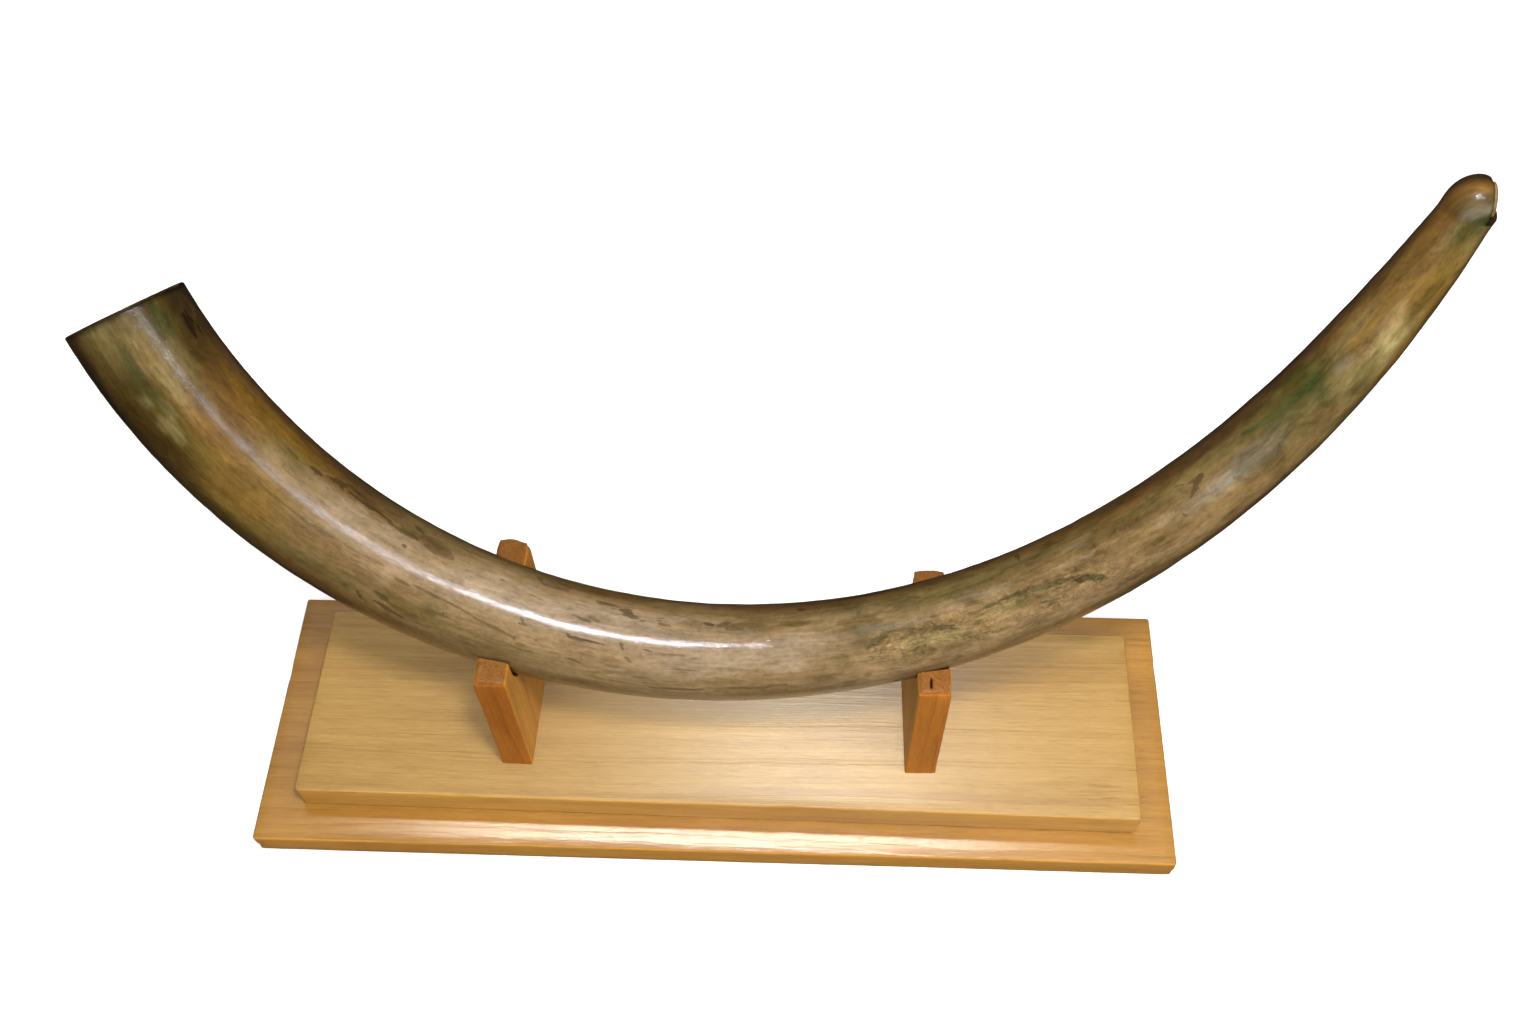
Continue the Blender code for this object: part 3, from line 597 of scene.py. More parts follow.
def painted(u, phi_deg, q):
    """Colour of the horn's skin at u and phi, before the fine grain."""
    keys = np.array([row[0] for row in LAYOUT])
    grid = np.array([[linear(TONES[t]) for t in row[1].split()] for row in LAYOUT])
    wob_u = u + 0.010 * layered(q * [60, 60, 30], 61, 3)
    wob_a = phi_deg + 8 * layered(q * [55, 55, 20], 67, 3)
    wob_a = (wob_a + 180) % 360 - 180
    i = np.clip(np.searchsorted(keys, wob_u, "right") - 1, 0, len(keys) - 2)
    fu = np.clip((wob_u - keys[i]) / (keys[i + 1] - keys[i]), 0, 1)[:, None]
    fu = fu * fu * (3 - 2 * fu)
    an = np.array(ANGLES, float)
    j = np.clip(np.searchsorted(an, wob_a, "right") - 1, 0, len(an) - 2)
    fa = np.clip((wob_a - an[j]) / (an[j + 1] - an[j]), 0, 1)[:, None]
    colour = (grid[i, j] * (1 - fa) + grid[i, j + 1] * fa) * (1 - fu) + (grid[i + 1, j] * (1 - fa) + grid[i + 1, j + 1] * fa) * fu
    edge = layered(q * [170, 170, 70], 71, 4)
    for pu, pa, du, da, tone, strength in PATCHES:
        near = np.abs(u - pu) < 3 * du + 0.02
        x = (u[near] - pu) / du
        y = ((phi_deg[near] - pa + 180) % 360 - 180) / da
        d = np.sqrt(x * x + y * y) + 1.25 * edge[near]
        m = (1 - smooth(0.45, 1.35, d)) * strength
        colour[near] = colour[near] * (1 - m[:, None]) + linear(TONES[tone]) * m[:, None]
    return colour


def stroked(u, phi_deg, r, q, under):
    """Where the crisp marks lie (0.5 at their edge) and the colour they turn the skin."""
    amount = np.zeros(len(u))
    colour = under.copy()
    jitter = layered(q * [420, 420, 130], 73, 3)
    sway = layered(q * [150, 150, 70], 79, 3)
    gaps = layered(q * [260, 260, 150], 85, 3)
    for u0, a0, u1, a1, w, tone, strength in STROKES:
        near = (u > min(u0, u1) - 0.01) & (u < max(u0, u1) + 0.01)
        r_mm = r[near] * 1000
        x, y = HORN_LENGTH * 1000 * (u[near] - u0), np.radians(phi_deg[near] - a0) * r_mm
        bx, by = HORN_LENGTH * 1000 * (u1 - u0), np.radians(a1 - a0) * r_mm
        y = y + 1.1 * w * sway[near]
        t = np.clip((x * bx + y * by) / np.maximum(bx * bx + by * by, 1e-6), 0, 1)
        wide = w * (0.62 + 0.5 * np.sin(math.pi * t) + 0.45 * sway[near])
        d = np.hypot(x - t * bx, y - t * by) + 1.0 * w * jitter[near]
        level = np.clip(1 - d / (2 * np.maximum(wide, 0.25)), 0, 1)
        level = level * (0.74 + 0.26 * smooth(-0.22, 0.10, gaps[near]))
        better = level > amount[near]
        where = np.nonzero(near)[0][better]
        amount[where] = level[better]
        colour[where] = under[where] * (1 - 0.85 * strength) + linear(TONES[tone]) * 0.85 * strength
    return amount, colour


tint = painted(uf, deg, lay)
mark, mark_tint = stroked(uf, deg, rr0, lay, tint)
mark *= kf == 0
# the rim and the first few millimetres of the bore
dark_edge = (1 - smooth(0.0008, 0.0042, sf + 0.0009 * layered(lay * [150, 150, 100], 83, 2))) * (kf == 0)
tint = tint * (1 - 0.70 * dark_edge[:, None])
rim_tone = linear((112, 84, 50)) * (0.85 + 0.3 * layered(verts * [90, 90, 90], 87, 3))[:, None]
growth = 0.5 + 0.5 * np.sin((rr - rb) * 2 * math.pi / 0.0016 + 2.5 * layered(lay * [60, 60, 1], 89, 2))
rim_tone = rim_tone * (0.72 + 0.33 * growth)[:, None]
tint = np.where((kf == 1)[:, None] & (uf < 0.5)[:, None], rim_tone, tint)
bore_tone = linear((92, 66, 38)) * (0.7 + 0.5 * layered(lay * [90, 90, 30], 91, 4))[:, None]
tint = np.where((kf == 2)[:, None], bore_tone, tint)
streaky = np.clip(0.30 + 0.55 * smooth(0.12, 0.2, uf) * (1 - smooth(0.54, 0.6, uf)) + 0.25 * layered(lay * [30, 30, 12], 95, 2), 0, 1)
streaky = streaky * (kf == 0) * (1 - 0.75 * smooth(0.84, 0.9, uf)) * (1 - 0.6 * (1 - smooth(0.05, 0.12, uf)))
HORN_GAIN = 0.56

# ------------------------------------------------------------------ horn material
g = Graph("polished_horn")
lay_v = g.attribute("lay", "Vector")
base = g.attribute("tint", "Color")
spot = g.attribute("mark_tint", "Color")
rough_m = g.attribute("rough_zone")
peel_m = g.attribute("peeled")
mark_m = g.attribute("mark")
streak_m = g.attribute("streaky")
warp = g.noise(g.stretch(lay_v, (1, 1, 0.5)), 60, 2, 0.5, 0, out=1)
node = g.nt.nodes.new("ShaderNodeVectorMath")
node.operation = "MULTIPLY_ADD"
g.nt.links.new(warp, node.inputs[0])
node.inputs[1].default_value = (0.006, 0.006, 0.012)
g.nt.links.new(lay_v, node.inputs[2])
bent = node.outputs[0]
mottle = g.noise(g.stretch(bent, (1, 1, 0.42)), 105, 5, 0.64, 0.5)
cloud = g.noise(g.stretch(bent, (1, 1, 0.55)), 38, 4, 0.6, 0.9)
fibre = g.noise(g.stretch(bent, (1, 1, 0.055)), 560, 4, 0.62, 0.0)
fine = g.noise(g.stretch(bent, (1, 1, 0.30)), 1300, 3, 0.6, 0.0)
grainy = g.noise(g.stretch(bent, (1, 1, 0.55)), 420, 4, 0.62, 0.4)
busy_m = g.attribute("busy")
c = g.blend(busy_m, base, g.ramp(mottle, [(0.30, (0.56, 0.54, 0.48)), (0.49, (1.0, 1.0, 1.0)), (0.70, (1.32, 1.32, 1.32))]), "MULTIPLY")
c = g.blend(busy_m, c, g.ramp(cloud, [(0.25, (0.76, 0.75, 0.68)), (0.5, (1.0, 1.0, 1.0)), (0.75, (1.16, 1.16, 1.14))]), "MULTIPLY")
c = g.blend(1.0, c, g.ramp(fibre, [(0.30, (0.78, 0.77, 0.74)), (0.5, (1.0, 1.0, 1.0)), (0.70, (1.14, 1.14, 1.14))]), "MULTIPLY")
c = g.blend(1.0, c, g.ramp(grainy, [(0.30, (0.78, 0.78, 0.75)), (0.5, (1.0, 1.0, 1.0)), (0.70, (1.15, 1.15, 1.14))]), "MULTIPLY")
# dark brush-like flecks along the grain
fleck = g.noise(g.stretch(bent, (1, 1, 0.14)), 230, 5, 0.68, 0.25)
gate = g.noise(g.stretch(lay_v, (1, 1, 0.4)), 42, 2, 0.5, 0)
fleck_m = g.math("MULTIPLY", g.span(fleck, 0.56, 0.65), g.span(gate, 0.42, 0.60))
fleck_m = g.math("MULTIPLY", g.math("MULTIPLY", fleck_m, streak_m), 0.72)
c = g.blend(fleck_m, c, g.blend(1.0, c, (0.34, 0.30, 0.24), "MULTIPLY"))
# hairline checks
line = g.noise(g.stretch(bent, (1, 1, 0.055)), 150, 3, 0.5, 0)
hair = g.math("SUBTRACT", 1.0, g.span(g.math("ABSOLUTE", g.math("SUBTRACT", line, 0.5)), 0.0, 0.0065))
hair = g.math("MULTIPLY", hair, g.span(g.noise(g.stretch(lay_v, (1, 1, 0.3)), 55, 2, 0.5, 0), 0.55, 0.66))
hair = g.math("MULTIPLY", g.math("MULTIPLY", hair, streak_m), 0.6)
c = g.blend(hair, c, (0.040, 0.028, 0.018))
# the crisp marks, their edges broken up by the grain
torn = g.math("ADD", g.math("MULTIPLY", fleck, 0.62), g.math("MULTIPLY", grainy, 0.38))
torn = g.math("MULTIPLY", g.math("SUBTRACT", torn, 0.5), 2.2)
edge_m = g.span(g.math("ADD", mark_m, g.math("MULTIPLY", torn, g.span(mark_m, 0.02, 0.3))), 0.33, 0.55)
c = g.blend(g.math("MULTIPLY", edge_m, 0.93), c, g.blend(1.0, spot, g.ramp(grainy, [(0.3, (0.78, 0.78, 0.78)), (0.7, (1.2, 1.2, 1.2))]), "MULTIPLY"))
# the rough stretch is scaly: pale flakes with dark lows
scale_n = g.noise(g.stretch(bent, (1, 1, 0.60)), 430, 4, 0.68, 0.9)
scaly = g.ramp(scale_n, [(0.32, (0.50, 0.50, 0.44)), (0.45, (0.86, 0.86, 0.82)), (0.55, (1.06, 1.05, 1.0)), (0.68, (1.55, 1.50, 1.38))])
c = g.blend(g.math("ADD", g.math("MULTIPLY", peel_m, 0.90), g.math("MULTIPLY", rough_m, 0.50), None, True), c, g.blend(1.0, c, scaly, "MULTIPLY"))
rough = g.span(mottle, 0.3, 0.7, 0.34, 0.44)
rough = g.math("ADD", rough, g.math("MULTIPLY", peel_m, 0.22))
height = g.math("ADD", g.math("MULTIPLY", fibre, 0.50), g.math("MULTIPLY", fine, 0.45))
height = g.math("ADD", height, g.math("MULTIPLY", grainy, 0.55))
height = g.math("SUBTRACT", height, g.math("MULTIPLY", hair, 0.5))
height = g.math("SUBTRACT", height, g.math("MULTIPLY", edge_m, 0.25))
height = g.math("ADD", height, g.math("MULTIPLY", g.math("MULTIPLY", scale_n, peel_m), 2.6))
normal = g.bump(height, 0.00020, 0.60)
spark = g.noise(g.stretch(bent, (1, 1, 0.85)), 640, 3, 0.6, 0.3)
glint = g.bump(g.math("ADD", height, g.math("MULTIPLY", spark, 1.5)), 0.00020, 0.38)
horn_mat = g.finish(c, rough, normal, Coat_Weight=g.math("MULTIPLY", g.attribute("gloss"), 0.66), Coat_Roughness=0.05, Coat_IOR=1.45, IOR=1.45, Specular_IOR_Level=0.17)
g.nt.links.new(glint, g.skin.inputs["Coat Normal"])

horn = mesh_object("horn_body_visual", verts, faces, horn_mat, 45)
vector_attribute(horn, "lay", lay)
colour_attribute(horn, "tint", np.clip(tint * HORN_GAIN, 0, 1))
colour_attribute(horn, "mark_tint", np.clip(mark_tint * HORN_GAIN, 0, 1))
float_attribute(horn, "mark", mark)
float_attribute(horn, "rough_zone", rough_zone * (kf == 0))
float_attribute(horn, "peeled", peeled * (kf == 0))
float_attribute(horn, "streaky", streaky)
float_attribute(horn, "gloss", 1 - 0.62 * smooth(0.95, 1.0, uf) - 0.35 * (1 - smooth(0.08, 0.16, uf)))
float_attribute(horn, "busy", 0.45 + 0.55 * smooth(0.49, 0.58, uf) + 0.25 * (1 - smooth(0.10, 0.16, uf)))
bm = bmesh.new()
bm.from_mesh(horn.data)
bmesh.ops.recalc_face_normals(bm, faces=bm.faces[:])
bm.to_mesh(horn.data)
bm.free()
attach(horn, "horn")
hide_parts("horn_body")

# ------------------------------------------------------------------ beeswax rim, pressed on by hand
g = Graph("beeswax_soft")
pos = g.place()
w1 = g.noise(pos, 320, 4, 0.6, 0.6)
w2 = g.noise(pos, 1400, 3, 0.6, 0.0)
wax_c = g.ramp(w1, [(0.3, (0.10, 0.060, 0.020)), (0.5, (0.17, 0.105, 0.036)), (0.7, (0.25, 0.165, 0.062))])
wax_mat = g.finish(wax_c, g.span(w2, 0.3, 0.7, 0.38, 0.55), g.bump(g.math("ADD", w1, g.math("MULTIPLY", w2, 0.35)), 0.00025, 0.6), Subsurface_Weight=0.12, Subsurface_Radius=(0.004, 0.002, 0.0008), Subsurface_Scale=0.5, Coat_Weight=0.12, Coat_Roughness=0.35)
profile = [
    (-WAX_LENGTH, WAX_INNER), (-WAX_LENGTH, WAX_INNER + 0.0007), (-WAX_LENGTH, WAX_OUTER - 0.0002), (-WAX_LENGTH + 0.0002, WAX_OUTER),
    (-0.0020, WAX_OUTER), (-0.0002, WAX_OUTER), (0.0, WAX_OUTER + 0.0003), (0.0, WAX_LIP_RADIUS - 0.0006), (0.00012, WAX_LIP_RADIUS - 0.0002),
    (0.0004, WAX_LIP_RADIUS - 0.00005), (WAX_LIP * 0.45, WAX_LIP_RADIUS), (WAX_LIP * 0.70, WAX_LIP_RADIUS - 0.00022), (WAX_LIP * 0.90, WAX_LIP_RADIUS - 0.0007),
    (WAX_LIP, WAX_LIP_RADIUS - 0.0012), (WAX_LIP * 1.06, (WAX_LIP_RADIUS + WAX_INNER) / 2), (WAX_LIP * 0.98, WAX_INNER + 0.0007), (WAX_LIP * 0.75, WAX_INNER + 0.00025),
    (WAX_LIP * 0.3, WAX_INNER), (-0.0012, WAX_INNER), (-0.0028, WAX_INNER),
]
WS = 72
face = MOUTH_P + MOUTH_N * GAP
wref = np.array([0.0, 1.0, 0.0]) - MOUTH_N * MOUTH_N[1]
wref /= np.linalg.norm(wref)
woth = np.cross(MOUTH_N, wref)
wv = []
for a, r in profile:
    th = 2 * math.pi * np.arange(WS) / WS
    wob = layered(np.stack([np.cos(th) * 2.2, np.sin(th) * 2.2, np.full(WS, a * 400)], 1), 101, 3)
    lift = smooth(0.0002, 0.0012, a)
    out_r = r + wob * 0.00028 * lift - 0.00010 * lift
    up = a + lift * 0.00018 * layered(np.stack([np.cos(th) * 1.7, np.sin(th) * 1.7, np.full(WS, 5.0)], 1), 103, 2)
    wv.append(face + MOUTH_N * up[:, None] + out_r[:, None] * (np.cos(th)[:, None] * wref + np.sin(th)[:, None] * woth))
wv = np.concatenate(wv)
wf = []
P = len(profile)
for i in range(P):
    a, b = i * WS, ((i + 1) % P) * WS
    for k in range(WS):
        wf.append((a + k, a + (k + 1) % WS, b + (k + 1) % WS, b + k))
wax = mesh_object("beeswax_mouthpiece_visual", wv, wf, wax_mat, 60)
bm = bmesh.new(); bm.from_mesh(wax.data); bmesh.ops.recalc_face_normals(bm, faces=bm.faces[:]); bm.to_mesh(wax.data); bm.free()
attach(wax, "horn")
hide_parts("beeswax_mouthpiece")


# ------------------------------------------------------------------ wood
def wood(name, grain, pale, mid, dark, pith, ring, seed, gloss, contrast=1.0, wave=0.004, rough=(0.30, 0.42), shine=0.12, cut_and_light_tints=None, ridge=0.6, spec=0.4, front=None, split=None):
    """Lacquered pine. grain is 0 for fibres along X or 2 for fibres along Z; pith is the tree's centre line in the two
    other coordinates.

    The cut tints colour the faces by the way they face: partly for how they were sawn, partly painted light and shade
    matched to how light fell on each (front and back, sides, ends). The front tint lightens the front and back faces:
    painted light."""
    g = Graph(name)
    pos = g.place()
    node = g.nt.nodes.new("ShaderNodeSeparateXYZ")
    g.nt.links.new(pos, node.inputs[0])
    x, y, z = node.outputs
    along, b, c2 = (x, y, z) if grain == 0 else (z, y, x)
    comb = g.nt.nodes.new("ShaderNodeCombineXYZ")
    for k, out in enumerate((along, b, c2)):
        g.nt.links.new(out, comb.inputs[k])
    v = comb.outputs[0]
    drift = g.noise(g.stretch(v, (2.2, 9, 9), (seed, seed * 0.7, 0)), 1.0, 3, 0.5, 0)
    drift2 = g.noise(g.stretch(v, (9, 40, 40), (seed, 3.1, seed)), 1.0, 3, 0.55, 0)
    bb = g.math("SUBTRACT", b, pith[0])
    cc = g.math("SUBTRACT", c2, pith[1])
    dist = g.math("SQRT", g.math("ADD", g.math("MULTIPLY", bb, bb), g.math("MULTIPLY", cc, cc)))
    dist = g.math("ADD", dist, g.math("MULTIPLY", g.math("SUBTRACT", drift, 0.5), wave * 6))
    dist = g.math("ADD", dist, g.math("MULTIPLY", g.math("SUBTRACT", drift2, 0.5), wave * 0.9))
    year = g.math("MULTIPLY", dist, 1.0 / ring)
    year = g.math("ADD", year, g.math("MULTIPLY", g.noise(year, 0.55, 1, 0.5, 0, dims="1D"), 2.2))
    part = g.math("FRACT", year)
    late = g.math("MULTIPLY", g.span(part, 0.25, 0.90), g.math("SUBTRACT", 1.0, g.span(part, 0.90, 1.0)))
    late = g.math("MULTIPLY", late, g.span(g.noise(year, 0.37, 1, 0.5, 0, dims="1D"), 0.3, 0.7, 0.25, 1.0))
    fibre = g.noise(g.stretch(v, (34, 820, 820)), 1.0, 4, 0.64, 0)
    fibre2 = g.noise(g.stretch(v, (110, 2000, 2000), (2.0, 0, 0)), 1.0, 3, 0.6, 0)
    band = g.noise(g.stretch(v, (3.0, 120, 120), (seed, 0, 1.0)), 1.0, 4, 0.6, 0.3)
    blotch = g.noise(g.stretch(v, (6.0, 20, 20), (seed + 4.0, 1.0, 2.0)), 1.0, 4, 0.6, 0.4)
    colour = g.blend(g.math("MULTIPLY", late, 0.50 * contrast), pale, mid)
    colour = g.blend(g.math("MULTIPLY", g.math("MULTIPLY", late, late), 0.40 * contrast), colour, dark)
    colour = g.blend(1.0, colour, g.ramp(band, [(0.28, (0.88, 0.85, 0.79)), (0.5, (1.0, 1.0, 1.0)), (0.72, (1.06, 1.07, 1.08))]), "MULTIPLY")
    colour = g.blend(1.0, colour, g.ramp(fibre, [(0.28, (0.83, 0.80, 0.75)), (0.5, (1.0, 1.0, 1.0)), (0.72, (1.09, 1.10, 1.11))]), "MULTIPLY")
    colour = g.blend(1.0, colour, g.ramp(fibre2, [(0.30, (0.87, 0.86, 0.83)), (0.5, (1.0, 1.0, 1.0)), (0.70, (1.08, 1.08, 1.08))]), "MULTIPLY")
    colour = g.blend(1.0, colour, g.ramp(blotch, [(0.28, (0.80, 0.75, 0.66)), (0.5, (1.0, 1.0, 1.0)), (0.74, (1.10, 1.12, 1.16))]), "MULTIPLY")
    # short dark resin flecks lying along the grain
    resin = g.noise(g.stretch(v, (34, 760, 760), (seed, 9.0, 0)), 1.0, 2, 0.5, 0)
    few = g.noise(g.stretch(v, (12, 55, 55), (seed, 0, 5.0)), 1.0, 1, 0.5, 0)
    resin = g.math("MULTIPLY", g.span(resin, 0.63, 0.72), g.span(few, 0.54, 0.66))
    colour = g.blend(g.math("MULTIPLY", resin, 0.55), colour, dark)
    height = g.math("ADD", g.math("MULTIPLY", late, 0.6), g.math("MULTIPLY", fibre, 1.0))
    height = g.math("ADD", height, g.math("MULTIPLY", blotch, 0.8))
    # Painted light: front lightens the front and back faces, matched to how the light fell on them.
    if front:
        tc = g.nt.nodes.new("ShaderNodeTexCoord")
        node = g.nt.nodes.new("ShaderNodeSeparateXYZ")
        g.nt.links.new(tc.outputs["Normal"], node.inputs[0])
        colour = g.blend(g.span(g.math("ABSOLUTE", node.outputs[1]), 0.3, 0.9), colour, g.blend(1.0, colour, front, "MULTIPLY"))
    if cut_and_light_tints:
        tc = g.nt.nodes.new("ShaderNodeTexCoord")
        node = g.nt.nodes.new("ShaderNodeSeparateXYZ")
        g.nt.links.new(tc.outputs["Normal"], node.inputs[0])
        nx, ny, nz = (g.math("ABSOLUTE", o) for o in node.outputs)
        # Partly painted light and shade: each face's tint also stands for how light fell on it, not only for the grain
        # it shows.
        colour = g.blend(g.span(ny, 0.35, 0.8), colour, g.blend(1.0, colour, cut_and_light_tints[0], "MULTIPLY"))
        colour = g.blend(g.span(nx, 0.35, 0.8), colour, g.blend(1.0, colour, cut_and_light_tints[1], "MULTIPLY"))
        # the end grain is open: dark pores and curved year lines
        pores = g.noise(pos, 1100, 3, 0.65, 0)
        end = g.blend(1.0, g.blend(1.0, colour, cut_and_light_tints[2], "MULTIPLY"), g.ramp(pores, [(0.32, (0.55, 0.50, 0.46)), (0.45, (0.95, 0.95, 0.95)), (0.65, (1.12, 1.10, 1.08))]), "MULTIPLY")
        colour = g.blend(g.span(nz, 0.45, 0.85), colour, end)
    if split:
        # painted shade in a drying crack: near black above its lowest point and just round its rim, given by its
        # centre, half sizes and lowest point
        (sx, sy), (rx, ry), low_z = split
        dx = g.math("MULTIPLY", g.math("SUBTRACT", x, sx), 1 / rx)
        dy = g.math("MULTIPLY", g.math("SUBTRACT", y, sy), 1 / ry)
        far = g.math("SQRT", g.math("ADD", g.math("MULTIPLY", dx, dx), g.math("MULTIPLY", dy, dy)))
        far = g.math("ADD", far, g.math("MULTIPLY", g.math("SUBTRACT", g.noise(pos, 900, 2, 0.6, 0), 0.5), 1.2))
        crack_shade = g.math("MULTIPLY", g.math("SUBTRACT", 1.0, g.span(far, 0.75, 1.25)), g.span(z, low_z, low_z + 0.001))
        colour = g.blend(g.math("MULTIPLY", crack_shade, 0.94), colour, (0.040, 0.013, 0.006))
    normal = g.bump(height, 0.00014, ridge)
    return g.finish(colour, g.span(fibre, 0.3, 0.7, rough[0], rough[1]), normal, Coat_Weight=gloss, Coat_Roughness=shine, Coat_IOR=1.5, Specular_IOR_Level=spec)


# The front tints of both boards are painted light on their front and back faces.
upper_mat = wood("pine_upper_lacquered", 0, (0.335, 0.198, 0.054), (0.280, 0.145, 0.030), (0.19, 0.084, 0.015), (0.30, -0.16), 0.0060, 3.0, 0.50, 0.50, rough=(0.42, 0.55), shine=0.26, spec=0.30, front=(1.46, 1.30, 1.02))
lower_mat = wood("pine_lower_lacquered", 0, (0.310, 0.150, 0.025), (0.254, 0.109, 0.016), (0.17, 0.062, 0.008), (-0.20, -0.11), 0.0072, 11.0, 0.90, 0.50, rough=(0.40, 0.52), shine=0.17, ridge=0.9, spec=0.20, front=(1.66, 1.64, 1.80))
# The cradles' face tints are partly painted light and shade, so the two cradles differ.
left_mat = wood("pine_left_cradle", 2, (0.39, 0.190, 0.048), (0.33, 0.142, 0.030), (0.21, 0.080, 0.014), (0.19, -0.30), 0.0040, 21.0, 0.12, 0.60, 0.003, rough=(0.50, 0.62), shine=0.3, cut_and_light_tints=((0.78, 0.51, 0.20), (1.20, 1.08, 0.60), (0.54, 0.46, 0.36)), spec=0.14)
right_mat = wood("pine_right_cradle", 2, (0.40, 0.195, 0.050), (0.34, 0.145, 0.031), (0.21, 0.080, 0.014), (-0.15, 0.02), 0.0040, 33.0, 0.12, 0.60, 0.003, rough=(0.50, 0.62), shine=0.3, cut_and_light_tints=((0.90, 0.64, 0.31), (0.92, 0.88, 0.60), (0.54, 0.42, 0.28)), spec=0.14, split=((0.1341, -0.0350), (0.0011, 0.0040), 0.1530))

# ------------------------------------------------------------------ stand: the boards and cradles, in the design's sizes
LOWER_LENGTH, LOWER_DEPTH, LOWER_THICKNESS, LOWER_EDGE = 0.600, 0.180, 0.020, 0.0016
UPPER_LENGTH, UPPER_DEPTH, UPPER_THICKNESS = 0.546, 0.133, 0.024
UPPER_SHIFT, UPPER_TURN, UPPER_CORNER, UPPER_EDGE = (0.0027, -0.0011), math.radians(-0.5), 0.0030, 0.0014
CRADLE_THICKNESS, CRADLE_HEIGHT = 0.0200, 0.115
CRADLE_EDGE, CRADLE_BACK_EDGE, CRADLE_TOP_EDGE = 0.0012, 0.0035, 0.0030
LEFT_X, LEFT_FRONT, LEFT_BACK, LEFT_TURN, LEFT_LEAN = -0.1272, -0.0432, 0.0598, math.radians(-1.2), 0.006
RIGHT_X, RIGHT_FRONT, RIGHT_BACK, RIGHT_TURN, RIGHT_LEAN = 0.1350, -0.0422, 0.0438, math.radians(1.2), 0.013
NOTCH_EASE = 0.0006
CRACK_WIDTH, CRACK_DEPTH, CRACK_LENGTH = 0.0014, 0.0040, 0.0075
SHANK_RADIUS, HEAD_RADIUS, HEAD_HEIGHT = 0.0020, 0.0042, 0.0028
CRADLE_SCREW_LENGTH, BASE_SCREW_LENGTH, SCREW_SINK = 0.046, 0.034, 0.0006
RECESS_WIDTH, RECESS_SPAN, RECESS_DEPTH = 0.0011, 0.0046, 0.0015
LEFT_SCREWS, RIGHT_SCREWS = (-0.024, 0.038), (-0.024, 0.023)
BASE_SCREWS = ((-0.225, -0.040), (0.225, -0.040), (-0.225, 0.040), (0.225, 0.040))
Z_UPPER0, Z_UPPER = LOWER_THICKNESS + GAP, LOWER_THICKNESS + UPPER_THICKNESS
Z_CRADLE0, Z_CRADLE = Z_UPPER + GAP, Z_UPPER + CRADLE_HEIGHT


def block(x0, x1, y0, y1, z0, z1):
    bm = bmesh.new()
    bmesh.ops.create_cube(bm, size=1.0)
    bmesh.ops.scale(bm, vec=(x1 - x0, y1 - y0, z1 - z0), verts=bm.verts)
    bmesh.ops.translate(bm, vec=((x0 + x1) / 2, (y0 + y1) / 2, (z0 + z1) / 2), verts=bm.verts)
    return bm


def ease(bm, test, width, segments):
    edges = [e for e in bm.edges if test((e.verts[0].co + e.verts[1].co) / 2, e.verts[1].co - e.verts[0].co)]
    bmesh.ops.bevel(bm, geom=edges, offset=width, segments=segments, profile=0.5, affect="EDGES")


def hole_tool(x, y, z, length):
    bm = bmesh.new()
    rows = []
    for dz, r in ((-0.004, HEAD_RADIUS + GAP), (0.0, HEAD_RADIUS + GAP), (0.0004, HEAD_RADIUS + GAP), (HEAD_HEIGHT + GAP / 2, SHANK_RADIUS + GAP), (length - 0.006, SHANK_RADIUS + GAP), (length + GAP, 0.0006 + GAP)):
        rows.append([bm.verts.new((x + r * math.cos(2 * math.pi * k / 40), y + r * math.sin(2 * math.pi * k / 40), z + dz)) for k in range(40)])
    for a, b in zip(rows, rows[1:]):
        for k in range(40):
            bm.faces.new((a[k], a[(k + 1) % 40], b[(k + 1) % 40], b[k]))
    bm.faces.new(rows[0]); bm.faces.new(rows[-1])
    bmesh.ops.recalc_face_normals(bm, faces=bm.faces[:])
    return object_from("tool", bm, lower_mat, 0)


def rotated(x, y, turn, ox=0.0, oy=0.0):
    c, s = math.cos(turn), math.sin(turn)
    return ox + c * x - s * y, oy + s * x + c * y


LEFT_CENTRE_Y, RIGHT_CENTRE_Y = (LEFT_FRONT + LEFT_BACK) / 2, (RIGHT_FRONT + RIGHT_BACK) / 2
cradle_screws = {}
for side, cx, cy, turn, spots in (("left", LEFT_X, LEFT_FRONT, LEFT_TURN, LEFT_SCREWS), ("right", RIGHT_X, RIGHT_FRONT, RIGHT_TURN, RIGHT_SCREWS)):
    for spot, al in zip(("front", "back"), spots):
        cradle_screws[f"{side}_cradle_screw_{spot}"] = (*rotated(0.0, al - cy, turn, cx, cy), Z_UPPER0 + SCREW_SINK)
base_screws = {f"base_screw_{where}": (x, y, SCREW_SINK) for (x, y), where in zip(BASE_SCREWS, ("front_left", "front_right", "back_left", "back_right"))}


def steps(a, b, pitch):
    n = max(2, int(round((b - a) / pitch)))
    return list(np.linspace(a, b, n + 1)[1:-1])


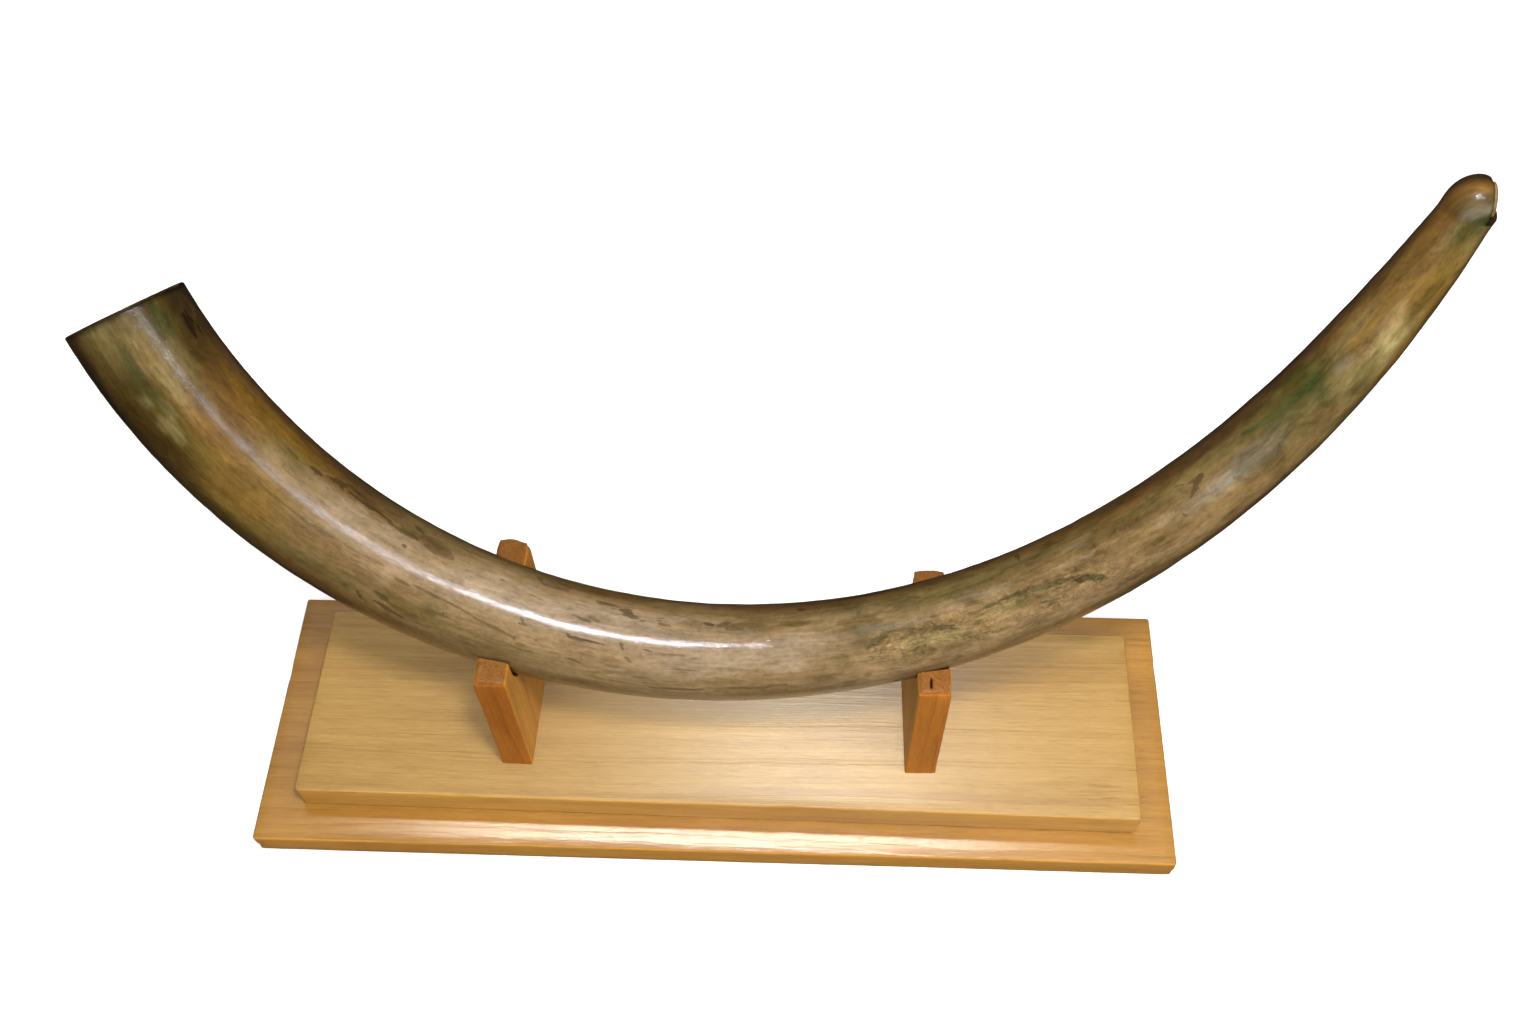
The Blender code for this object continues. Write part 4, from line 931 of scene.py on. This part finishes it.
def shape_board(ob, z0, z1, seed, cup, dents):
    """Hand-finished wood: the faces wave a little, the sawn edges wander, and the corners are knocked."""
    co = points(ob)
    top = smooth(z1 - 0.004, z1 - 0.0005, co[:, 2])
    wave = layered(co * [7, 30, 12], seed, 3)
    co[:, 2] -= top * (cup * (0.5 + 0.5 * wave))
    side = layered(co * [14, 14, 60], seed + 5, 3)
    low = smooth(z0, z0 + 0.001, co[:, 2])
    mid = (co[:, :2].max(0) + co[:, :2].min(0)) / 2
    half = (co[:, :2].max(0) - co[:, :2].min(0)) / 2
    for k in (0, 1):
        near = smooth(half[k] - 0.0035, half[k] - 0.0002, np.abs(co[:, k] - mid[k]))
        co[:, k] -= np.sign(co[:, k] - mid[k]) * near * 0.00016 * (1 + side)
    for x, y, z, r, depth in dents:
        c = np.array([x, y, z])
        d = np.linalg.norm((co - c) / r, axis=1)
        pull = (1 - smooth(0.0, 1.0, d)) * depth
        inward = np.array([mid[0], mid[1], (z0 + z1) / 2]) - c
        inward = inward * np.array([0.15 if abs(abs(x - mid[0]) - half[0]) > 0.01 else 1.0, 1.0, 0.6])
        inward = inward / np.linalg.norm(inward)
        if abs(abs(x - mid[0]) - half[0]) <= 0.01:
            inward = np.array([-np.sign(x - mid[0]) * 0.7, -np.sign(y - mid[1]) * 0.5, -0.5 * np.sign(z - (z0 + z1) / 2)])
        co += pull[:, None] * inward
    co[:, 2] = np.maximum(co[:, 2], z0)
    set_points(ob, co)


bm = block(-LOWER_LENGTH / 2, LOWER_LENGTH / 2, -LOWER_DEPTH / 2, LOWER_DEPTH / 2, 0.0, LOWER_THICKNESS)
ease(bm, lambda c, d: True, LOWER_EDGE, 4)
lower = object_from("lower_base_board_visual", bm, lower_mat, 30)
cut_out(lower, [hole_tool(*at, BASE_SCREW_LENGTH) for at in base_screws.values()])
sliced(lower, steps(-0.2984, 0.2984, 0.006), steps(-0.0884, 0.0884, 0.006), [0.006, 0.010, 0.014])
shape_board(lower, 0.0, LOWER_THICKNESS, 201, 0.00012, (
    (-0.300, -0.090, 0.006, 0.006, 0.0013), (0.300, -0.090, 0.004, 0.006, 0.0010), (-0.12, -0.090, 0.020, 0.009, 0.0006),
    (0.19, -0.090, 0.020, 0.007, 0.0005), (-0.300, 0.03, 0.020, 0.008, 0.0006), (0.300, 0.05, 0.020, 0.007, 0.0006)))
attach(lower, "stand"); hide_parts("lower_base_board")

bm = block(-UPPER_LENGTH / 2, UPPER_LENGTH / 2, -UPPER_DEPTH / 2, UPPER_DEPTH / 2, Z_UPPER0, Z_UPPER)
ease(bm, lambda c, d: abs(d.z) > 0.01, UPPER_CORNER, 6)
ease(bm, lambda c, d: abs(d.z) < 1e-5, UPPER_EDGE, 4)
upper = object_from("upper_base_board_visual", bm, upper_mat, 30)
sliced(upper, steps(-0.2700, 0.2700, 0.006), steps(-0.0635, 0.0635, 0.006), [0.027, 0.032, 0.038])
shape_board(upper, Z_UPPER0, Z_UPPER, 221, 0.00014, (
    (-0.16, -0.0665, 0.044, 0.008, 0.0005), (0.05, -0.0665, 0.044, 0.010, 0.0005), (0.2730, 0.02, 0.044, 0.008, 0.0005)))
bm = bmesh.new(); bm.from_mesh(upper.data)
bmesh.ops.rotate(bm, cent=(0, 0, 0), matrix=Matrix.Rotation(UPPER_TURN, 3, "Z"), verts=bm.verts)
bmesh.ops.translate(bm, vec=(*UPPER_SHIFT, 0.0), verts=bm.verts)
bm.to_mesh(upper.data); bm.free()
cut_out(upper, [hole_tool(*at, BASE_SCREW_LENGTH) for at in base_screws.values()] + [hole_tool(*at, CRADLE_SCREW_LENGTH) for at in cradle_screws.values()])
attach(upper, "stand"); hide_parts("upper_base_board")


def cradle(name, cx, y0, y1, turn, lean, seed, mat, holes, crack, knocks):
    depth = y1 - y0
    bm = block(-CRADLE_THICKNESS / 2, CRADLE_THICKNESS / 2, 0.0, depth, Z_CRADLE0, Z_CRADLE)
    top = Z_CRADLE - 1e-5
    ease(bm, lambda c, d: c.z > top, CRADLE_TOP_EDGE, 5)
    ease(bm, lambda c, d: abs(d.z) > 0.05 and c.y > depth / 2, CRADLE_BACK_EDGE, 5)
    ease(bm, lambda c, d: abs(d.z) > 0.05 and c.y < 0.001, CRADLE_EDGE, 3)
    ob = object_from(name + "_visual", bm, mat, 30)
    sliced(ob, steps(-0.0085, 0.0085, 0.003), steps(0.002, depth - 0.004, 0.003), steps(Z_CRADLE0, Z_CRADLE - 0.003, 0.004))
    co = points(ob)
    n = layered(co * [60, 60, 16] + seed, seed, 3)
    up = smooth(Z_CRADLE0 + 0.001, Z_CRADLE0 + 0.01, co[:, 2])
    for k, (lo, hi) in enumerate(((-CRADLE_THICKNESS / 2, CRADLE_THICKNESS / 2), (0.0, depth))):
        for at, sign in ((lo, 1), (hi, -1)):
            near = 1 - smooth(0.0002, 0.0030, np.abs(co[:, k] - at))
            co[:, k] += sign * near * up * 0.00022 * (1 + n)
    near = 1 - smooth(0.0002, 0.003, Z_CRADLE - co[:, 2])
    co[:, 2] -= near * 0.0004 * (1 + layered(co * [90, 90, 10], seed + 2, 3))
    # worn corners: where, how far round, how deep, which way in
    for at, r, sink, way in knocks:
        d = np.linalg.norm((co - np.array([at[0], at[1] * depth, Z_CRADLE])) / r, axis=1)
        way = np.array(way, float) / np.linalg.norm(way)
        co += ((1 - smooth(0.0, 1.0, d)) * sink)[:, None] * way
    set_points(ob, co)
    bm = bmesh.new()
    bm.from_mesh(ob.data)
    bmesh.ops.rotate(bm, cent=(0, 0, 0), matrix=Matrix.Rotation(turn, 3, "Z"), verts=bm.verts)
    bmesh.ops.translate(bm, vec=(cx, y0, 0.0), verts=bm.verts)
    for v in bm.verts:
        v.co.x += lean * (v.co.z - Z_CRADLE0)
    bm.to_mesh(ob.data)
    bm.free()
    u = float(np.interp(cx, LINE_P[:, 0], LINE_U))
    p, t = horn_at(u)
    half = CRADLE_THICKNESS / HORN_LENGTH
    r = max(horn_radius(u - half), horn_radius(u + half)) + NOTCH_EASE
    axes = frames([(p, t)])[0]
    # the notch: round below, with upright sides above, along the horn's own direction
    bm = bmesh.new()
    spots = []
    for along in (-0.06, 0.06):
        for a in 2 * math.pi * np.arange(120) / 120:
            q = Vector(p + t * along + r * (math.cos(a) * axes[2] + math.sin(a) * axes[3]))
            spots += [bm.verts.new(q), bm.verts.new(q + Vector((0, 0, 0.05)))]
    made = bmesh.ops.convex_hull(bm, input=spots)
    loose = {v for v in made["geom_interior"] + made["geom_unused"] if isinstance(v, bmesh.types.BMVert)}
    bmesh.ops.delete(bm, geom=list(loose), context="VERTS")
    bmesh.ops.recalc_face_normals(bm, faces=bm.faces[:])
    tools = [object_from("tool", bm, mat, 0)] + [hole_tool(*at, CRADLE_SCREW_LENGTH) for at in holes]
    if crack:
        # a drying crack: a thin lens-shaped wedge in the end grain
        bm = bmesh.new()
        rows = []
        for z, k in ((Z_CRADLE - CRACK_DEPTH, 0.35), (Z_CRADLE + 0.003, 1.15)):
            row = []
            for a in 2 * math.pi * np.arange(24) / 24:
                x = 0.5 * CRACK_WIDTH * k * math.sin(a) * (1 + 0.35 * math.cos(a)) - 0.0003 * math.cos(a)
                y = 0.0034 + CRACK_LENGTH / 2 - 0.5 * CRACK_LENGTH * math.cos(a) * (0.8 + 0.2 * k)
                X, Y = rotated(x, y, turn, cx - 0.0009 + 0.4 * lean * (z - Z_CRADLE), y0)
                row.append(bm.verts.new((X, Y, z)))
            rows.append(row)
        for k in range(24):
            bm.faces.new((rows[0][k], rows[0][(k + 1) % 24], rows[1][(k + 1) % 24], rows[1][k]))
        bm.faces.new(rows[0])
        bm.faces.new(rows[1])
        bmesh.ops.recalc_face_normals(bm, faces=bm.faces[:])
        tools.append(object_from("tool", bm, mat, 0))
    cut_out(ob, tools)
    # slivers that the cuts leave along the notch's rim
    bm = bmesh.new()
    bm.from_mesh(ob.data)
    bmesh.ops.dissolve_degenerate(bm, dist=2e-5, edges=bm.edges[:])
    bm.to_mesh(ob.data)
    bm.free()
    ob.data.shade_smooth()
    ob.data.set_sharp_from_angle(angle=math.radians(30))
    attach(ob, "stand")
    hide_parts(name)
    return ob


T2 = CRADLE_THICKNESS / 2
cradle("left_cradle", LEFT_X, LEFT_FRONT, LEFT_BACK, LEFT_TURN, LEFT_LEAN, 241, left_mat, [cradle_screws["left_cradle_screw_front"], cradle_screws["left_cradle_screw_back"]], False,
       (((T2, 1.0), 0.011, 0.0034, (-0.6, -0.5, -0.9)), ((-T2, 1.0), 0.008, 0.0016, (0.6, -0.5, -0.8)), ((-T2, 0.0), 0.007, 0.0012, (0.7, 0.3, -0.6)), ((T2, 0.0), 0.006, 0.0008, (-0.5, 0.5, -0.6))))
cradle("right_cradle", RIGHT_X, RIGHT_FRONT, RIGHT_BACK, RIGHT_TURN, RIGHT_LEAN, 261, right_mat, [cradle_screws["right_cradle_screw_front"], cradle_screws["right_cradle_screw_back"]], True,
       (((T2, 0.0), 0.009, 0.0022, (-0.5, 0.6, -0.8)), ((-T2, 1.0), 0.007, 0.0014, (0.5, -0.5, -0.8)), ((T2, 1.0), 0.008, 0.0018, (-0.5, -0.5, -0.8))))

# ------------------------------------------------------------------ screws with real threads
g = Graph("zinc_screw")
pos = g.place()
s1 = g.noise(pos, 900, 4, 0.6, 0.3)
s2 = g.noise(g.stretch(pos, (1, 1, 0.3)), 4200, 2, 0.6, 0.0)
screw_c = g.ramp(s1, [(0.3, (0.42, 0.40, 0.35)), (0.5, (0.62, 0.61, 0.57)), (0.7, (0.75, 0.74, 0.72))])
screw_mat = g.finish(screw_c, g.span(s1, 0.3, 0.7, 0.24, 0.42), g.bump(s2, 0.00004, 0.5), Metallic=1.0)


def screw(name, x, y, z, length):
    ns = 36
    pitch, core = 0.0016, 0.00135
    zs = [(0.0, 0.0038), (0.00012, HEAD_RADIUS - 0.00012), (0.0004, HEAD_RADIUS), (0.0008, HEAD_RADIUS - 0.00035), (HEAD_HEIGHT * 0.6, 0.0029), (HEAD_HEIGHT, SHANK_RADIUS - 0.0001), (HEAD_HEIGHT + 0.0006, SHANK_RADIUS - 0.0003)]
    body = np.arange(HEAD_HEIGHT + 0.0010, length - 0.0004, pitch / 8)
    rings_z = [a for a, _ in zs] + list(body) + [length]
    verts = []
    for i, dz in enumerate(rings_z):
        th = 2 * math.pi * np.arange(ns) / ns
        if i < len(zs):
            r = np.full(ns, zs[i][1])
        else:
            phase = ((dz - HEAD_HEIGHT) / pitch - th / (2 * math.pi)) % 1.0
            tooth = np.clip(1 - np.abs(phase - 0.5) / 0.26, 0, 1)
            start = smooth(HEAD_HEIGHT + 0.003, HEAD_HEIGHT + 0.006, dz)
            point = 1 - smooth(length - 0.0065, length, dz)
            r = (SHANK_RADIUS - 0.0003 - start * (SHANK_RADIUS - 0.0003 - core)) + start * tooth * (SHANK_RADIUS - core - 0.00005)
            r = np.maximum(r * (0.12 + 0.88 * np.sqrt(point)), 0.00018)
        verts.append(np.stack([x + r * np.cos(th), y + r * np.sin(th), np.full(ns, z + dz)], 1))
    n = len(rings_z)
    faces = [(i * ns + k, i * ns + (k + 1) % ns, (i + 1) * ns + (k + 1) % ns, (i + 1) * ns + k) for i in range(n - 1) for k in range(ns)]
    faces += [tuple(range(ns))[::-1], tuple((n - 1) * ns + k for k in range(ns))]
    ob = mesh_object(name + "_visual", np.concatenate(verts), faces, screw_mat, 40)
    bm = bmesh.new(); bm.from_mesh(ob.data); bmesh.ops.recalc_face_normals(bm, faces=bm.faces[:]); bm.to_mesh(ob.data); bm.free()
    # the cross recess
    bm = bmesh.new()
    a, b = RECESS_WIDTH / 2, RECESS_SPAN / 2
    outline = [(a, a), (a, b), (-a, b), (-a, a), (-b, a), (-b, -a), (-a, -a), (-a, -b), (a, -b), (a, -a), (b, -a), (b, a)]
    turn = 0.6 * (len(name) % 5) + x * 9.0
    lo, hi = [], []
    for px, py in outline:
        X, Y = rotated(px, py, turn, x, y)
        lo.append(bm.verts.new((X, Y, z - 0.002)))
        X, Y = rotated(px * 0.72, py * 0.55, turn, x, y)
        hi.append(bm.verts.new((X, Y, z + RECESS_DEPTH)))
    bm.faces.new(lo); bm.faces.new(hi)
    for k in range(12):
        bm.faces.new((lo[k], lo[(k + 1) % 12], hi[(k + 1) % 12], hi[k]))
    bmesh.ops.recalc_face_normals(bm, faces=bm.faces[:])
    cut_out(ob, [object_from("tool", bm, screw_mat, 0)])
    ob.data.shade_smooth()
    ob.data.set_sharp_from_angle(angle=math.radians(40))
    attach(ob, "stand"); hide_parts(name)
    return ob


for name, at in base_screws.items():
    screw(name, *at, BASE_SCREW_LENGTH)
for name, at in cradle_screws.items():
    screw(name, *at, CRADLE_SCREW_LENGTH)

# ------------------------------------------------------------------ floor, light and camera
g = Graph("floor_paper")
fp = g.noise(g.place(), 3.0, 3, 0.5, 0)
floor_mat = g.finish(g.ramp(fp, [(0.3, (0.845, 0.845, 0.845)), (0.7, (0.86, 0.86, 0.858))]), 0.85, None, Specular_IOR_Level=0.2)
bm = bmesh.new()
bmesh.ops.create_grid(bm, x_segments=4, y_segments=4, size=12.0)
bmesh.ops.translate(bm, vec=(0, 0, -0.0002), verts=bm.verts)
floor = object_from("floor", bm, floor_mat, 0)
floor.visible_glossy = False
floor.visible_diffuse = False

world = bpy.data.worlds.new("studio")
bpy.context.scene.world = world
world.use_nodes = True
wt = world.node_tree
wt.nodes.clear()
wo = wt.nodes.new("ShaderNodeOutputWorld")
bg = wt.nodes.new("ShaderNodeBackground")
lp = wt.nodes.new("ShaderNodeLightPath")
m1 = wt.nodes.new("ShaderNodeMapRange")
m1.inputs[3].default_value, m1.inputs[4].default_value = 0.34, 0.045      # what diffuse and glossy rays meet
wt.links.new(lp.outputs["Is Glossy Ray"], m1.inputs[0])
m2 = wt.nodes.new("ShaderNodeMix")
m2.inputs[3].default_value = 1.0
wt.links.new(lp.outputs["Is Camera Ray"], m2.inputs[0])
wt.links.new(m1.outputs[0], m2.inputs[2])
wt.links.new(m2.outputs[0], bg.inputs["Strength"])
# the dim room that glossy surfaces mirror is warm
mc = wt.nodes.new("ShaderNodeMix")
mc.data_type = "RGBA"
mc.inputs[6].default_value, mc.inputs[7].default_value = (1.0, 1.0, 1.0, 1.0), (1.0, 0.70, 0.38, 1.0)
wt.links.new(lp.outputs["Is Glossy Ray"], mc.inputs[0])
wt.links.new(mc.outputs[2], bg.inputs["Color"])
wt.links.new(bg.outputs[0], wo.inputs[0])


def area(name, at, look, size, power, glossy=True, diffuse=True, colour=(1, 1, 1), height=None):
    light = bpy.data.lights.new(name, "AREA")
    light.shape = "RECTANGLE" if height else "DISK"
    light.size, light.energy, light.color = size, power, colour
    if height:
        light.size_y = height
    ob = bpy.data.objects.new(name, light)
    bpy.context.scene.collection.objects.link(ob)
    ob.location = at
    ob.rotation_mode = "QUATERNION"
    ob.rotation_quaternion = (Vector(look) - Vector(at)).to_track_quat("-Z", "Y")
    ob.visible_camera = False
    ob.visible_glossy = glossy
    ob.visible_diffuse = diffuse
    return ob


def bar(name, start, end, width, look, power, **kw):
    """A thin light whose long side runs from start to end."""
    start, end, look = Vector(start), Vector(end), Vector(look)
    middle, along = (start + end) / 2, (end - start).normalized()
    ob = area(name, middle, look, (end - start).length, power, height=width, **kw)
    back = middle - look
    back = (back - along * back.dot(along)).normalized()
    side = back.cross(along)
    ob.rotation_quaternion = Matrix((along, side, back)).transposed().to_quaternion()
    return ob


# the flash: two thin bars that the horn's gloss draws out into one long line, and a soft one for the skin's own colour
bar("flash_middle", (-0.115, -0.220, 1.105), (0.225, -0.238, 1.105), 0.020, (0.0, 0.0, 0.14), 9.0, diffuse=False, colour=(0.80, 0.86, 1.0))
bar("flash_bell", (0.225, -0.238, 1.105), (0.475, -0.395, 1.105), 0.016, (-0.15, 0.0, 0.2), 2.4, diffuse=False, colour=(0.78, 0.84, 1.0))
area("flash_soft", (0.14, -0.30, 1.10), (0.0, 0.0, 0.12), 0.14, 10.0, glossy=False)
area("soft_front", (0.15, -1.25, 1.80), (0.0, 0.0, 0.10), 1.3, 13.0, glossy=False)
area("fill_back", (-0.9, 1.6, 1.7), (0.0, 0.0, 0.15), 1.6, 12.0, glossy=False)
area("fill_front", (-0.9, -1.7, 1.2), (0.0, 0.0, 0.15), 1.4, 14.0, glossy=False)
area("fill_right", (1.5, -0.8, 1.1), (-0.12, 0.0, 0.10), 1.0, 17.0, glossy=False)
# strips overhead that only the lacquered boards mirror; nothing but the boards gets in their way
strip = bar("strip_lower", (-0.50, 0.452, 1.38), (0.34, 0.430, 1.38), 0.11, (0.02, -0.06, 0.03), 27.0, diffuse=False, colour=(1.0, 0.95, 0.84))
strip_upper = bar("strip_upper", (-0.10, 0.52, 1.38), (0.24, 0.47, 1.38), 0.12, (0.06, -0.05, 0.04), 11.0, diffuse=False, colour=(1.0, 0.97, 0.88))
boards = bpy.data.collections.new("boards")
for ob in (lower, upper):
    boards.objects.link(ob)
for light, board in ((strip, lower), (strip_upper, upper)):
    lit = bpy.data.collections.new(board.name + "_lit")
    lit.objects.link(board)
    light.light_linking.receiver_collection = lit
    light.light_linking.blocker_collection = boards
# the right-hand end of the boards is a little brighter
lift = area("boards_right", (0.46, -0.06, 0.56), (0.30, -0.02, 0.0), 0.25, 1.1, glossy=False, colour=(1.0, 0.97, 0.92))
both = bpy.data.collections.new("boards_lit")
for ob in (lower, upper):
    both.objects.link(ob)
lift.light_linking.receiver_collection = both
lift.light_linking.blocker_collection = boards
# a wash over the floor alone, so that it stays pale to its far edges
wash = area("wash", (0.2, 1.2, 4.2), (0.1, 0.9, 0.0), 4.0, 150.0, glossy=False)
paper = bpy.data.collections.new("floor_under_wash")
paper.objects.link(floor)
wash.light_linking.receiver_collection = paper

cam = bpy.data.cameras.new("camera")
cam_ob = bpy.data.objects.new("camera", cam)
bpy.context.scene.collection.objects.link(cam_ob)
right, down, forward = (0.99917, 0.03653, -0.01786), (0.02094, -0.83867, -0.54423), (-0.03486, 0.54341, -0.83874)
rows = Matrix((right, tuple(-x for x in down), tuple(-x for x in forward)))
cam_ob.matrix_world = Matrix.Translation((0.0669, -0.4298, 0.9493)) @ rows.transposed().to_4x4()
cam.sensor_width = 36.0
cam.lens = 35.043
cam.clip_start, cam.clip_end = 0.01, 60.0
cam.dof.use_dof = False
bpy.context.scene.camera = cam_ob
bpy.context.scene.view_settings.view_transform = "Standard"
